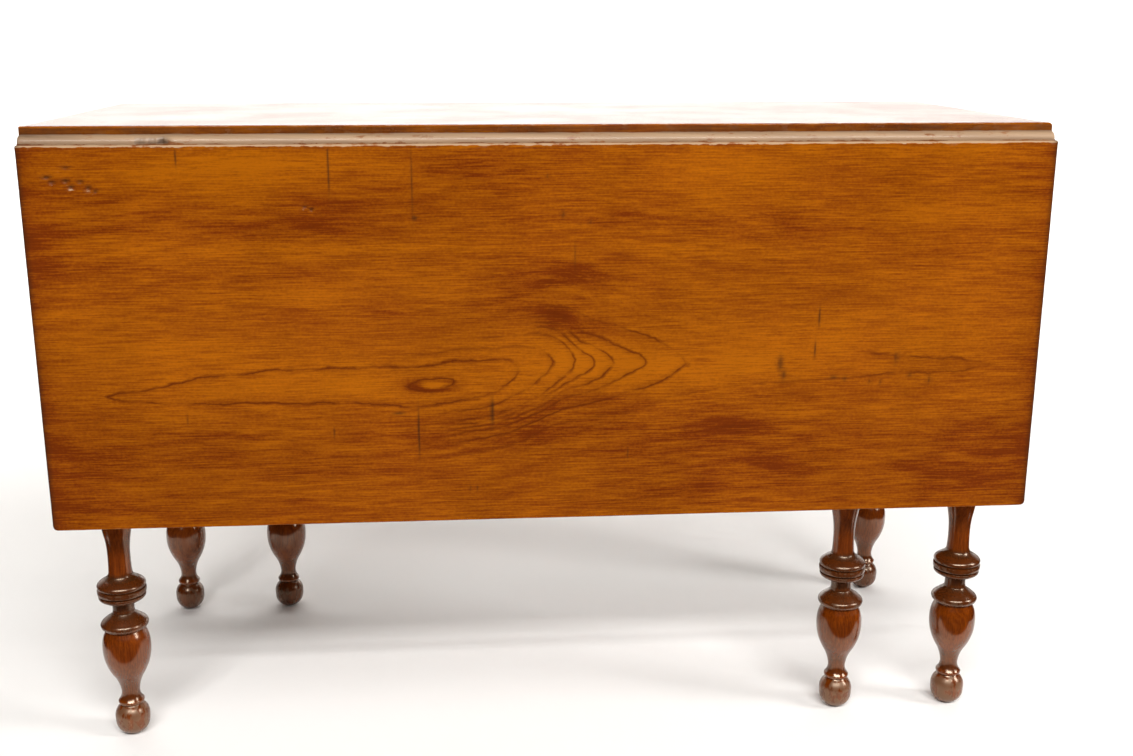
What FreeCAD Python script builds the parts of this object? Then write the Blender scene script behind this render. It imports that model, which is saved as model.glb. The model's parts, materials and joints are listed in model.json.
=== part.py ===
"""Drop-leaf dining table with two swing legs, with both leaves hanging.

X runs along the table, Y from the front leaf to the rear leaf, and Z up from the floor.
The table looks the same after a half turn about Z, so a rear piece is its front piece turned round.
"""
import FreeCAD, Part
import math
import os

Vector = FreeCAD.Vector
origin = Vector(0, 0, 0)
upright = Vector(0, 0, 1)
forwards = Vector(0, -1, 0)

# Boards
table_height = 730.0
top_length = 1124.0
top_width = 442.0                # between the square steps of the two rule joints
board_thickness = 21.0
step_height = 9.0                # square step above the moulding
rule_gap = 0.8                   # air between the moulding and the hollow of the leaf
leaf_drop = 428.5                # from the hinge axis down to the free edge of the leaf
leaf_corner_radius = 6.0
worn_edge_radius = 2.0

# Leg places and blocks
leg_block = 60.0
block_height = 150.0
leg_end_inset = 54.0             # from the end of the top to the middle of a corner leg
leg_side_inset = 40.0            # from the step of the top to the middle of a corner leg
swing_leg_inset = 41.0           # from the step of the top to the middle of a shut swing leg
swing_leg_spacing = 145.0        # from a corner leg to the swing leg beside it
swing_leg_headroom = 0.5         # between a swing leg and the boards above it
shoulder_rise = 34.0             # height in which the turned shoulder of a block doubles its radius

# Turned members of a leg, from the floor up
foot_height = 44.0
foot_radius = 20.0
vase_height = 93.0
vase_radius = 27.8
disc_height = 25.5
disc_radius = 27.5
ring_height = 65.5
ring_radius = 28.2
column_radius = 27.6
capital_height = 53.0
capital_radius = 29.0

# Outline of each member: share of its height, share of its radius, and the bow of the stretch that
# ends there as a share of that stretch, outwards where it is positive
foot_shares = (
    (0.00, 0.35, 0.00),
    (0.46, 1.00, 0.18),
    (0.86, 0.67, 0.14),
    (0.885, 0.63, 0.00),
    (0.92, 0.73, 0.00),
    (1.00, 0.745, 0.12),
)
vase_shares = (
    (0.14, 0.385, -0.12),
    (0.37, 0.66, -0.06),
    (0.765, 1.00, 0.075),
    (0.88, 0.955, 0.03),
    (0.955, 0.86, 0.03),
    (1.00, 0.79, 0.00),
)
disc_shares = (
    (0.02, 0.80, 0.00),
    (0.08, 0.905, 0.00),
    (0.29, 1.00, 0.15),
    (0.44, 0.90, 0.10),
    (0.63, 0.68, 0.02),
    (0.82, 0.47, -0.04),
    (1.00, 0.45, 0.00),
)
ring_shares = (
    (0.145, 0.44, 0.00),
    (0.20, 0.85, 0.10),
    (0.24, 0.955, 0.10),
    (0.275, 0.96, 0.06),
    (0.296, 0.87, 0.00),
    (0.318, 0.985, 0.00),
    (0.398, 0.995, 0.05),
    (0.42, 0.885, 0.00),
    (0.442, 0.975, 0.00),
    (0.485, 0.985, 0.05),
    (0.53, 0.90, 0.08),
    (0.585, 0.70, 0.02),
    (0.65, 0.525, -0.06),
    (0.73, 0.475, -0.06),
    (1.00, 0.455, -0.01),
)
column_shares = (
    (0.105, 0.565, -0.03),
    (0.26, 0.77, 0.01),
    (0.525, 0.98, 0.04),
    (0.77, 0.815, 0.04),
    (1.00, 0.565, -0.03),
)
capital_shares = (
    (0.066, 0.69, 0.00),
    (0.255, 0.69, 0.35),
    (0.30, 0.64, 0.00),
    (0.566, 0.92, -0.15),
    (0.62, 0.95, 0.00),
    (0.81, 0.95, 0.20),
    (0.86, 0.83, 0.00),
    (1.00, 0.83, 0.00),
)

# Rails and their wooden joints
rail_depth = 130.0
end_rail_thickness = 22.0
end_rail_setback = 5.0           # behind the outer faces of the legs
inner_rail_thickness = 22.0
fly_rail_thickness = 28.0
fly_rail_gap = 2.0               # between a shut fly rail and the inner rail
fly_rail_headroom = 2.0
block_gap = 3.0                  # between a shut swing leg and the inner rail
swing_arm = 363.0                # from the knuckle pin to the middle of the swing leg
knuckle_count = 5
knuckle_gap = 0.5
knuckle_pin_radius = 4.0
knuckle_pin_play = 0.06
tenon_thickness = 10.0
tenon_length = 26.0
tenon_shoulder = 12.0
housing_depth = 8.0
joint_gap = 0.1                  # around tenons in their mortises
peg_radius = 3.5
peg_tail = 5.0                   # past the far side of the tenon
peg_head = 0.5                   # proud of the face where the peg was driven in
peg_gap = 0.05
peg_height_shares = (0.25, 0.75)

# Blocks and screws that hold the frame and the top together
fixing_block_length = 70.0
fixing_block_width = 30.0
fixing_block_height = 30.0
fixing_place_shares = (-0.6, 0.0, 0.6)
frame_screw_head_radius = 4.0
frame_screw_head_height = 2.6
frame_screw_radius = 2.2
frame_screw_length = 42.0
hinge_rail_screw_shares = (0.15, 0.5, 0.85)
screw_gap = 0.05
slot_width_share = 0.3           # of the head radius
slot_depth_share = 0.4           # of the head height

# Table hinges
hinge_end_inset = 142.0          # from the end of the top to the middle of an outer hinge
hinge_width = 38.0
barrel_radius = 3.0
top_plate_reach = 32.0
leaf_plate_reach = 58.0
plate_thickness = 2.2
plate_gap = 0.1                  # around a plate in its recess
barrel_gap = 0.5                 # around the barrel, and between its knuckles and the other plate
barrel_end_gap = 0.2
hinge_pin_radius = 1.5
hinge_pin_play = 0.05
plate_screw_head_radius = 3.4
plate_screw_radius = 1.6
plate_screw_length = 15.0
plate_screw_width_shares = (-0.32, 0.32, 0.0)
top_screw_reach_shares = (0.44, 0.44, 0.78)
leaf_screw_reach_shares = (0.45, 0.45, 0.82)
barrel_side_share = 1 / 3        # each plate's knuckle as a share of the hinge width

overrun = 2.0                    # how far a cutting shape runs past the face that it opens

# Boards, worked out
half_length = top_length / 2
half_width = top_width / 2
underside = table_height - board_thickness
hinge_height = underside + barrel_radius
moulding_radius = board_thickness - step_height - barrel_radius
hinge_y = -half_width
leaf_inner_y = hinge_y + barrel_radius
leaf_outer_y = leaf_inner_y - board_thickness
leaf_bottom = hinge_height - leaf_drop
hinge_places = (hinge_end_inset - half_length, 0.0, half_length - hinge_end_inset)

# Legs, worked out
half_block = leg_block / 2
block_bottom = underside - block_height
leg_x = half_length - leg_end_inset
leg_y = half_width - leg_side_inset
swing_x = leg_x - swing_leg_spacing
swing_y = half_width - swing_leg_inset
leg_inner_y = -leg_y + half_block
leg_inner_x = leg_x - half_block
leg_outer_x = leg_x + half_block
swing_face_x = swing_x - half_block

# Rails, worked out
rail_bottom = underside - rail_depth
rail_span = (rail_bottom, underside)
tenon_span = (rail_bottom + tenon_shoulder, underside - tenon_shoulder)
inner_rail_face = -swing_y + half_block + block_gap
inner_rail_back = inner_rail_face + inner_rail_thickness
rail_front = inner_rail_face - fly_rail_gap - fly_rail_thickness
knuckle_radius = fly_rail_thickness / 2
knuckle_x = swing_x - swing_arm
knuckle_y = rail_front + knuckle_radius
knuckle_height = rail_depth / knuckle_count
end_rail_outer_x = leg_outer_x - end_rail_setback
end_rail_inner_x = end_rail_outer_x - end_rail_thickness
end_tenon_x = end_rail_outer_x - end_rail_thickness / 2
hinge_tenon_y = (rail_front + leg_inner_y) / 2
peg_heights = [tenon_span[0] + share * (tenon_span[1] - tenon_span[0]) for share in peg_height_shares]

pieces = {}


def about(middle, width):
    """Lowest and highest value of a stretch of this width about its middle."""
    return (middle - width / 2, middle + width / 2)


def wider(span, gap):
    """The stretch with a gap added at both ends."""
    return (span[0] - gap, span[1] + gap)


def box(x_span, y_span, z_span):
    """Solid box between the low and high value of each axis, given in either order."""
    low = Vector(min(x_span), min(y_span), min(z_span))
    high = Vector(max(x_span), max(y_span), max(z_span))
    return Part.makeBox(high.x - low.x, high.y - low.y, high.z - low.z, low)


def rod(radius, start, end):
    """Round bar between two points."""
    along = end - start
    return Part.makeCylinder(radius, along.Length, start, along)


def joined(first, others):
    """One solid from shapes that run into each other."""
    return first.multiFuse(others).removeSplitter()


def half_turn(shape):
    """Copy of a shape, turned half round the table's upright axis."""
    turned = shape.copy()
    turned.rotate(origin, upright, 180)
    return turned


def with_half_turn(shapes):
    """The front shapes of a group, and the same shapes at the rear."""
    return shapes + [half_turn(shape) for shape in shapes]


def keep(name, shape):
    pieces[name] = shape


def keep_group(name, shapes):
    pieces[name] = Part.makeCompound(shapes)


# Screws and pegs

def screw(head_radius, head_height, radius, length, start, direction):
    """Countersunk screw whose slotted head is flush with the face at its start."""
    neck = start + direction * head_height
    head = Part.makeCone(head_radius, radius, head_height, start, direction)
    shank = rod(radius, neck, start + direction * length)
    across = Vector(0, 0, 1) if direction.z == 0 else Vector(0, 1, 0)
    side = direction.cross(across)
    slot_depth = slot_depth_share * head_height
    slot_width = slot_width_share * head_radius
    bar_start = start - across * head_radius - side * (slot_width / 2)
    bar = Part.makePolygon([
        bar_start,
        bar_start + side * slot_width,
        bar_start + side * slot_width + direction * slot_depth,
        bar_start + direction * slot_depth,
        bar_start,
    ])
    slot = Part.Face(bar).extrude(across * (2 * head_radius))
    return joined(head, [shank]).cut(slot)


def screw_hole(head_radius, head_height, radius, length, start, direction):
    """Cutting shape for a countersunk screw, a gap larger than the screw all round."""
    mouth = rod(head_radius + screw_gap, start - direction * overrun, start)
    head = Part.makeCone(head_radius + screw_gap, radius + screw_gap, head_height, start, direction)
    shank = rod(radius + screw_gap, start, start + direction * (length + screw_gap))
    return joined(mouth, [head, shank])


def frame_screw_sizes():
    return (frame_screw_head_radius, frame_screw_head_height, frame_screw_radius, frame_screw_length)


def plate_screw_sizes():
    return (plate_screw_head_radius, plate_thickness, plate_screw_radius, plate_screw_length)


def pegs(starts, direction, length):
    return [rod(peg_radius, start - direction * peg_head, start + direction * length) for start in starts]


def peg_holes(starts, direction, length):
    """Cutting shapes for pegs, open at the face where the pegs are driven in."""
    return [rod(peg_radius + peg_gap, start - direction * overrun, start + direction * (length + peg_gap))
            for start in starts]


# Turned legs

def leg_outline():
    """Radius, height and bow of every point up a leg, from the foot to the block."""
    column_height = block_bottom - (foot_height + vase_height + disc_height + ring_height + capital_height)
    members = (
        (foot_shares, foot_height, foot_radius),
        (vase_shares, vase_height, vase_radius),
        (disc_shares, disc_height, disc_radius),
        (ring_shares, ring_height, ring_radius),
        (column_shares, column_height, column_radius),
        (capital_shares, capital_height, capital_radius),
    )
    points = []
    base = 0.0
    for shares, height, radius in members:
        points += [(radius * r_share, base + height * h_share, bow) for h_share, r_share, bow in shares]
        base += height
    return points


def outline_edge(start, end):
    """Line between two outline points, or an arc where the second point carries a bow."""
    a = Vector(start[0], 0, start[1])
    b = Vector(end[0], 0, end[1])
    bow = end[2]
    if bow == 0:
        return Part.LineSegment(a, b).toShape()
    outwards = Vector(b.z - a.z, 0, a.x - b.x)
    return Part.Arc(a, (a + b) / 2 + outwards * bow, b).toShape()


def leg(headroom):
    """Turned leg with its square block, standing on the origin."""
    points = leg_outline()
    neck_radius = points[-1][0]
    points.append((neck_radius, block_bottom + shoulder_rise, 0))
    edges = [Part.LineSegment(origin, Vector(points[0][0], 0, points[0][1])).toShape()]
    edges += [outline_edge(start, end) for start, end in zip(points, points[1:])]
    tip = Vector(0, 0, points[-1][1])
    edges.append(Part.LineSegment(Vector(points[-1][0], 0, points[-1][1]), tip).toShape())
    edges.append(Part.LineSegment(tip, origin).toShape())
    turning = Part.Face(Part.Wire(edges)).revolve(origin, upright, 360)
    block = box(about(0, leg_block), about(0, leg_block), (block_bottom, underside - headroom))
    shoulder_base = Vector(0, 0, block_bottom)
    shoulder = Part.makeCone(half_block, leg_block, shoulder_rise, shoulder_base)
    above = rod(leg_block, shoulder_base + upright * shoulder_rise, Vector(0, 0, table_height))
    return joined(turning, [block.common(joined(shoulder, [above]))])


def placed(shape, x, y):
    copy = shape.copy()
    copy.translate(Vector(x, y, 0))
    return copy


# Tenons and their pegs, all on the front half of the table

def end_tenon(side, gap):
    """Tenon of an end rail in a front leg; side is -1 at the left end and 1 at the right."""
    return box(
        wider(about(side * end_tenon_x, tenon_thickness), gap),
        (leg_inner_y - tenon_length - gap, leg_inner_y + overrun),
        wider(tenon_span, gap),
    )


def hinge_tenon(gap):
    """Tenon of the hinge rail in the left front leg."""
    return box(
        (-leg_inner_x - tenon_length - gap, -leg_inner_x + overrun),
        wider(about(hinge_tenon_y, tenon_thickness), gap),
        wider(tenon_span, gap),
    )


def fly_tenon(gap):
    """Tenon of the fly rail in the swing leg."""
    return box(
        (swing_face_x - overrun, swing_face_x + tenon_length + gap),
        wider(about(knuckle_y, tenon_thickness), gap),
        wider(tenon_span, gap),
    )


def end_pegs(side):
    """Where the pegs of an end tenon start, which way they go, and how long they are."""
    y = leg_inner_y - tenon_length / 2
    starts = [Vector(side * leg_outer_x, y, height) for height in peg_heights]
    return starts, Vector(-side, 0, 0), leg_outer_x - end_tenon_x + tenon_thickness / 2 + peg_tail


def side_pegs(x, block_face_y, tenon_y):
    """The same for a tenon whose pegs are driven in from the front."""
    starts = [Vector(x, block_face_y, height) for height in peg_heights]
    return starts, Vector(0, 1, 0), tenon_y - block_face_y + tenon_thickness / 2 + peg_tail


hinge_rail_pegs = side_pegs(-leg_inner_x - tenon_length / 2, -leg_y - half_block, hinge_tenon_y)
fly_rail_pegs = side_pegs(swing_face_x + tenon_length / 2, -swing_y - half_block, knuckle_y)


def make_legs():
    corner = leg(0)
    left = placed(corner, -leg_x, -leg_y)
    left = left.cut([end_tenon(-1, joint_gap), hinge_tenon(joint_gap)]
                    + peg_holes(*end_pegs(-1)) + peg_holes(*hinge_rail_pegs))
    right = placed(corner, leg_x, -leg_y)
    right = right.cut([end_tenon(1, joint_gap)] + peg_holes(*end_pegs(1)))
    swing = placed(leg(swing_leg_headroom), swing_x, -swing_y)
    swing = swing.cut([fly_tenon(joint_gap)] + peg_holes(*fly_rail_pegs))
    keep("leg_front_left", left)
    keep("leg_front_right", right)
    keep("leg_rear_right", half_turn(left))
    keep("leg_rear_left", half_turn(right))
    keep("swing_leg_front", swing)
    keep("swing_leg_rear", half_turn(swing))
    frame_pegs = pegs(*end_pegs(-1)) + pegs(*end_pegs(1)) + pegs(*hinge_rail_pegs)
    keep_group("frame_pegs", with_half_turn(frame_pegs))
    swing_pegs = pegs(*fly_rail_pegs)
    keep_group("swing_pegs_front", swing_pegs)
    keep_group("swing_pegs_rear", [half_turn(peg) for peg in swing_pegs])


# Rails

def housing(gap):
    """Stub of the front inner rail in the left end rail."""
    return box(
        (-end_rail_inner_x - housing_depth - gap, -end_rail_inner_x + overrun),
        wider((inner_rail_face, inner_rail_back), gap),
        wider(tenon_span, gap),
    )


def mirrored_ends(shape):
    return [shape, shape.mirror(origin, Vector(1, 0, 0))]


def make_end_rails():
    rail = box((-end_rail_outer_x, -end_rail_inner_x), (leg_inner_y, -leg_inner_y), rail_span)
    front_tenon = end_tenon(-1, 0)
    rear_tenon = half_turn(end_tenon(1, 0))
    front_stub = housing(joint_gap)
    rear_stub = front_stub.mirror(origin, Vector(0, 1, 0))
    holes = peg_holes(*end_pegs(-1)) + [half_turn(hole) for hole in peg_holes(*end_pegs(1))]
    rail = joined(rail, [front_tenon, rear_tenon]).cut([front_stub, rear_stub] + holes)
    keep("end_rail_left", rail)
    keep("end_rail_right", half_turn(rail))


def hinge_rail_screws():
    """Where the screws of the front hinge rail start, on the back of the inner rail."""
    length = leg_inner_x + knuckle_x
    middle = (rail_bottom + underside) / 2
    return [Vector(-leg_inner_x + share * length, inner_rail_back, middle)
            for share in hinge_rail_screw_shares]


def make_inner_rails():
    rail = box((-end_rail_inner_x, end_rail_inner_x), (inner_rail_face, inner_rail_back), rail_span)
    rail = joined(rail, mirrored_ends(housing(0)))
    holes = [screw_hole(*frame_screw_sizes(), start, forwards) for start in hinge_rail_screws()]
    rail = rail.cut(holes)
    keep("inner_rail_front", rail)
    keep("inner_rail_rear", half_turn(rail))
    screws = [screw(*frame_screw_sizes(), start, forwards) for start in hinge_rail_screws()]
    keep_group("hinge_rail_screws", with_half_turn(screws))


def knuckle_level(index, gap):
    """Height stretch of one knuckle, counted from the bottom of the rails."""
    base = rail_bottom + index * knuckle_height
    return wider((base, base + knuckle_height), gap)


def pin_line(z_span):
    """The two ends of a stretch of the knuckle pin's axis."""
    return [Vector(knuckle_x, knuckle_y, height) for height in z_span]


def knuckles(first):
    """Round bars about the knuckle pin on every second level from the first."""
    return [rod(knuckle_radius, *pin_line(knuckle_level(index, 0)))
            for index in range(first, knuckle_count, 2)]


def sockets(first, reach):
    """Square gaps for the other rail's knuckles, reaching this far to both sides of the pin."""
    across = wider((rail_front, inner_rail_face), overrun)
    return [box(about(knuckle_x, 2 * reach), across, knuckle_level(index, knuckle_gap))
            for index in range(first, knuckle_count, 2)]


def pin_hole():
    return rod(knuckle_pin_radius + knuckle_pin_play, *pin_line(wider(rail_span, overrun)))


def make_swing_joint():
    socket_reach = knuckle_radius + knuckle_gap
    fixed = box((-leg_inner_x, knuckle_x), (rail_front, inner_rail_face), rail_span)
    fixed = joined(fixed, knuckles(0) + [hinge_tenon(0)])
    holes = [screw_hole(*frame_screw_sizes(), start, forwards) for start in hinge_rail_screws()]
    fixed = fixed.cut(sockets(1, socket_reach) + holes + peg_holes(*hinge_rail_pegs) + [pin_hole()])
    keep("hinge_rail_front", fixed)
    keep("hinge_rail_rear", half_turn(fixed))

    fly_top = underside - fly_rail_headroom
    fly = box((knuckle_x, swing_face_x), about(knuckle_y, fly_rail_thickness), (rail_bottom, fly_top))
    fly = joined(fly, knuckles(1) + [fly_tenon(0)])
    fly = fly.cut(sockets(0, socket_reach) + peg_holes(*fly_rail_pegs) + [pin_hole()])
    keep("fly_rail_front", fly)
    keep("fly_rail_rear", half_turn(fly))

    pin = rod(knuckle_pin_radius, *pin_line(rail_span))
    keep("knuckle_pin_front", pin)
    keep("knuckle_pin_rear", half_turn(pin))


# Blocks that hold the top

def fixing_blocks():
    """Name, spans and screw start of each block on the front and left rails."""
    height = (underside - fixing_block_height, underside)
    rows = []
    for number, share in enumerate(fixing_place_shares, 1):
        x = share * end_rail_inner_x
        y_span = (inner_rail_back, inner_rail_back + fixing_block_width)
        start = Vector(x, sum(y_span) / 2, height[0])
        rows.append(("front_%d" % number, "rear_%d" % number,
                     (about(x, fixing_block_length), y_span, height), start))
    x_span = (-end_rail_inner_x, -end_rail_inner_x + fixing_block_width)
    start = Vector(sum(x_span) / 2, 0, height[0])
    rows.append(("left", "right", (x_span, about(0, fixing_block_length), height), start))
    return rows


def make_fixing_blocks():
    screws = []
    for front_name, rear_name, spans, start in fixing_blocks():
        block = box(*spans).cut(screw_hole(*frame_screw_sizes(), start, upright))
        keep("fixing_block_" + front_name, block)
        keep("fixing_block_" + rear_name, half_turn(block))
        screws.append(screw(*frame_screw_sizes(), start, upright))
    keep_group("fixing_screws", with_half_turn(screws))


# Table hinges, in place under the front rule joint

def hinge_axis_rod(radius, x_span):
    return rod(radius, Vector(x_span[0], hinge_y, hinge_height), Vector(x_span[1], hinge_y, hinge_height))


def barrel_spans(x):
    """Stretches of a hinge's barrel: left and right on the top plate, middle on the leaf plate."""
    whole = about(x, hinge_width)
    middle = about(x, hinge_width * barrel_side_share)
    return (whole[0], middle[0] - barrel_end_gap), middle, (middle[1] + barrel_end_gap, whole[1])


def top_plate_screws(x):
    return [Vector(x + across * hinge_width, hinge_y + reach * top_plate_reach, underside)
            for across, reach in zip(plate_screw_width_shares, top_screw_reach_shares)]


def leaf_plate_screws(x):
    return [Vector(x + across * hinge_width, leaf_inner_y, hinge_height - reach * leaf_plate_reach)
            for across, reach in zip(plate_screw_width_shares, leaf_screw_reach_shares)]


def top_plate(x):
    left, middle, right = barrel_spans(x)
    plate = box(about(x, hinge_width), (hinge_y, hinge_y + top_plate_reach),
                (underside, underside + plate_thickness))
    plate = joined(plate, [hinge_axis_rod(barrel_radius, left), hinge_axis_rod(barrel_radius, right)])
    room = barrel_radius + barrel_gap
    notch = box((left[1], right[0]), about(hinge_y, 2 * room), about(hinge_height, 2 * room))
    holes = [screw_hole(*plate_screw_sizes(), start, upright) for start in top_plate_screws(x)]
    pin = hinge_axis_rod(hinge_pin_radius + hinge_pin_play, wider(about(x, hinge_width), overrun))
    return plate.cut([notch, pin] + holes)


def leaf_plate(x):
    left, middle, right = barrel_spans(x)
    plate = box(about(x, hinge_width), (leaf_inner_y - plate_thickness, leaf_inner_y),
                (hinge_height - leaf_plate_reach, hinge_height))
    plate = joined(plate, [hinge_axis_rod(barrel_radius, middle)])
    room = barrel_radius + barrel_gap
    depth = about(hinge_y, 2 * room)
    height = about(hinge_height, 2 * room)
    left_notch = box((left[0] - overrun, middle[0]), depth, height)
    right_notch = box((middle[1], right[1] + overrun), depth, height)
    holes = [screw_hole(*plate_screw_sizes(), start, forwards) for start in leaf_plate_screws(x)]
    pin = hinge_axis_rod(hinge_pin_radius + hinge_pin_play, wider(about(x, hinge_width), overrun))
    return plate.cut([left_notch, right_notch, pin] + holes)


def make_hinges():
    top_screws = []
    leaf_screws = []
    for number, x in enumerate(hinge_places, 1):
        parts = {
            "hinge_top_plate": top_plate(x),
            "hinge_leaf_plate": leaf_plate(x),
            "hinge_pin": hinge_axis_rod(hinge_pin_radius, about(x, hinge_width)),
        }
        for name, shape in parts.items():
            keep("%s_front_%d" % (name, number), shape)
            keep("%s_rear_%d" % (name, number), half_turn(shape))
        top_screws += [screw(*plate_screw_sizes(), start, upright) for start in top_plate_screws(x)]
        leaf_screws += [screw(*plate_screw_sizes(), start, forwards) for start in leaf_plate_screws(x)]
    keep_group("hinge_top_screws", with_half_turn(top_screws))
    keep_group("leaf_front_screws", leaf_screws)
    keep_group("leaf_rear_screws", [half_turn(shape) for shape in leaf_screws])


# Boards

def edges_on_face(shape, axis, value):
    """Edges of a shape that lie in the plane where one coordinate has this value."""
    return [edge for edge in shape.Edges
            if all(abs(getattr(vertex, axis) - value) < joint_gap for vertex in edge.Vertexes)]


def extruded(points, arcs):
    """Board of the top's length from an outline in the YZ plane.

    arcs maps the number of a point to the middle of the arc that starts there.
    """
    edges = []
    count = len(points)
    for index in range(count):
        start = Vector(-half_length, *points[index])
        end = Vector(-half_length, *points[(index + 1) % count])
        if index in arcs:
            edges.append(Part.Arc(start, Vector(-half_length, *arcs[index]), end).toShape())
        else:
            edges.append(Part.LineSegment(start, end).toShape())
    return Part.Face(Part.Wire(edges)).extrude(Vector(top_length, 0, 0))


def top_recesses():
    """Cutting shapes under the front half of the top: barrels, plates, and screws."""
    cuts = []
    room = barrel_radius + barrel_gap
    for x in hinge_places:
        wide = wider(about(x, hinge_width), plate_gap)
        plate_top = underside + plate_thickness + plate_gap
        under = underside - overrun
        cuts.append(hinge_axis_rod(room, wide))
        cuts.append(box(wide, about(hinge_y, 2 * room), (under, hinge_height)))
        cuts.append(box(wide, (hinge_y, hinge_y + top_plate_reach + plate_gap), (under, plate_top)))
        cuts.append(box(wide, (hinge_y - moulding_radius - overrun, hinge_y), (under, plate_top)))
        cuts += [screw_hole(*plate_screw_sizes(), start, upright) for start in top_plate_screws(x)]
    cuts += [screw_hole(*frame_screw_sizes(), row[-1], upright) for row in fixing_blocks()]
    return cuts


def make_top():
    slant = moulding_radius * math.sqrt(0.5)
    edge_y = hinge_y - moulding_radius
    points = (
        (hinge_y, table_height),
        (hinge_y, hinge_height + moulding_radius),
        (edge_y, hinge_height),
        (edge_y, underside),
        (-edge_y, underside),
        (-edge_y, hinge_height),
        (-hinge_y, hinge_height + moulding_radius),
        (-hinge_y, table_height),
    )
    arcs = {
        1: (hinge_y - slant, hinge_height + slant),
        5: (-hinge_y + slant, hinge_height + slant),
    }
    board = extruded(points, arcs)
    board = board.makeFillet(worn_edge_radius, edges_on_face(board, "Z", table_height))
    keep("top_board", board.cut(with_half_turn(top_recesses())))


def make_leaves():
    hollow = moulding_radius + rule_gap
    slant = hollow * math.sqrt(0.5)
    tip = math.sqrt(hollow ** 2 - rule_gap ** 2)
    leaf_top = hinge_height - rule_gap
    points = (
        (leaf_outer_y, leaf_top),
        (hinge_y - tip, leaf_top),
        (hinge_y, hinge_height - hollow),
        (leaf_inner_y, hinge_height - hollow),
        (leaf_inner_y, leaf_bottom),
        (leaf_outer_y, leaf_bottom),
    )
    board = extruded(points, {1: (hinge_y - slant, hinge_height - slant)})
    corners = [edge for edge in edges_on_face(board, "Z", leaf_bottom)
               if abs(edge.Vertexes[0].X - edge.Vertexes[1].X) < joint_gap]
    board = board.makeFillet(leaf_corner_radius, corners)
    board = board.makeFillet(worn_edge_radius, edges_on_face(board, "Y", leaf_outer_y))
    cuts = []
    for x in hinge_places:
        depth = (leaf_inner_y - plate_thickness - plate_gap, leaf_inner_y + overrun)
        height = (hinge_height - leaf_plate_reach - plate_gap, hinge_height)
        cuts.append(box(wider(about(x, hinge_width), plate_gap), depth, height))
        cuts += [screw_hole(*plate_screw_sizes(), start, forwards) for start in leaf_plate_screws(x)]
    board = board.cut(cuts)
    keep("leaf_front", board)
    keep("leaf_rear", half_turn(board))


def main():
    make_top()
    make_leaves()
    make_legs()
    make_end_rails()
    make_inner_rails()
    make_swing_joint()
    make_fixing_blocks()
    make_hinges()
    os.makedirs("parts", exist_ok=True)
    for name, shape in pieces.items():
        shape.exportStep(os.path.join("parts", name + ".step"))
        print(name, len(shape.Solids), "solids, valid", shape.isValid(), "volume %.0f mm3" % shape.Volume)


main()
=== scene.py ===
"""Looks of a drop-leaf table with two swing legs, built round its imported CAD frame.

Lengths are in metres, in the frame's own axes: X along the table, Y from the front leaf to the rear leaf,
and Z up.
"""

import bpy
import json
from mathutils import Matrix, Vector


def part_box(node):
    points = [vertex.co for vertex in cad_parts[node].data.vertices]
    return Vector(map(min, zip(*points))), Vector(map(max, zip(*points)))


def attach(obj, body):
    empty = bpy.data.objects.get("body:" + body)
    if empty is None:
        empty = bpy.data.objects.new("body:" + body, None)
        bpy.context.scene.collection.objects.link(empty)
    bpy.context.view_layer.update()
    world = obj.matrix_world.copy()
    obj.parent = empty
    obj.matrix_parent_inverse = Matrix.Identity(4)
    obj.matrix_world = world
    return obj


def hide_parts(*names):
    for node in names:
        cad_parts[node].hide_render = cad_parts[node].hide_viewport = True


bl_info = {
    "name": "Drop-leaf table",
    "version": (1, 0, 0),
    "blender": (4, 5, 0),
    "location": "View3D > Sidebar > Table",
    "description": "Makes the boards, turned legs, rails, finishes and stage of a drop-leaf table",
    "category": "Object",
}

import json
import math

import bpy
import numpy as np
from bpy.props import FloatProperty, FloatVectorProperty, PointerProperty
from mathutils import Quaternion, Vector

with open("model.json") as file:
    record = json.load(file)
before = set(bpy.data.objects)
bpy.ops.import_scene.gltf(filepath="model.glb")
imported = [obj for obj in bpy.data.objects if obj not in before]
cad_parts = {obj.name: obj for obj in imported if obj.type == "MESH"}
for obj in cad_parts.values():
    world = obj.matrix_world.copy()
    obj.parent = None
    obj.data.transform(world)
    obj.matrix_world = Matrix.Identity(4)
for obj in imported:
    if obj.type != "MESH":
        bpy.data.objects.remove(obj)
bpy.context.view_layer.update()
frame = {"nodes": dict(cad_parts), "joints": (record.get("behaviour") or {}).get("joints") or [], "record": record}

# Places read from the frame
joint_places = {joint["name"]: joint["pos_m"] for joint in frame["joints"]}
top_low, top_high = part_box("top_board")
leaf_low, leaf_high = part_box("leaf_front")
half_length = top_high.x
hinge_y = joint_places["leaf_front_hinge"][1]
hinge_z = joint_places["leaf_front_hinge"][2]
moulding_radius = hinge_y - top_low.y
moulding_top = hinge_z + moulding_radius
rule_gap = hinge_z - leaf_high.z
hollow_radius = moulding_radius + rule_gap
hinge_numbers = (1, 2, 3)
top_plates = [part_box("hinge_top_plate_front_%d" % number) for number in hinge_numbers]
leaf_plates = [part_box("hinge_leaf_plate_front_%d" % number) for number in hinge_numbers]
corner_legs = ("leg_front_left", "leg_front_right", "leg_rear_left", "leg_rear_right")
swing_legs = ("swing_leg_front", "swing_leg_rear")

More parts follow.
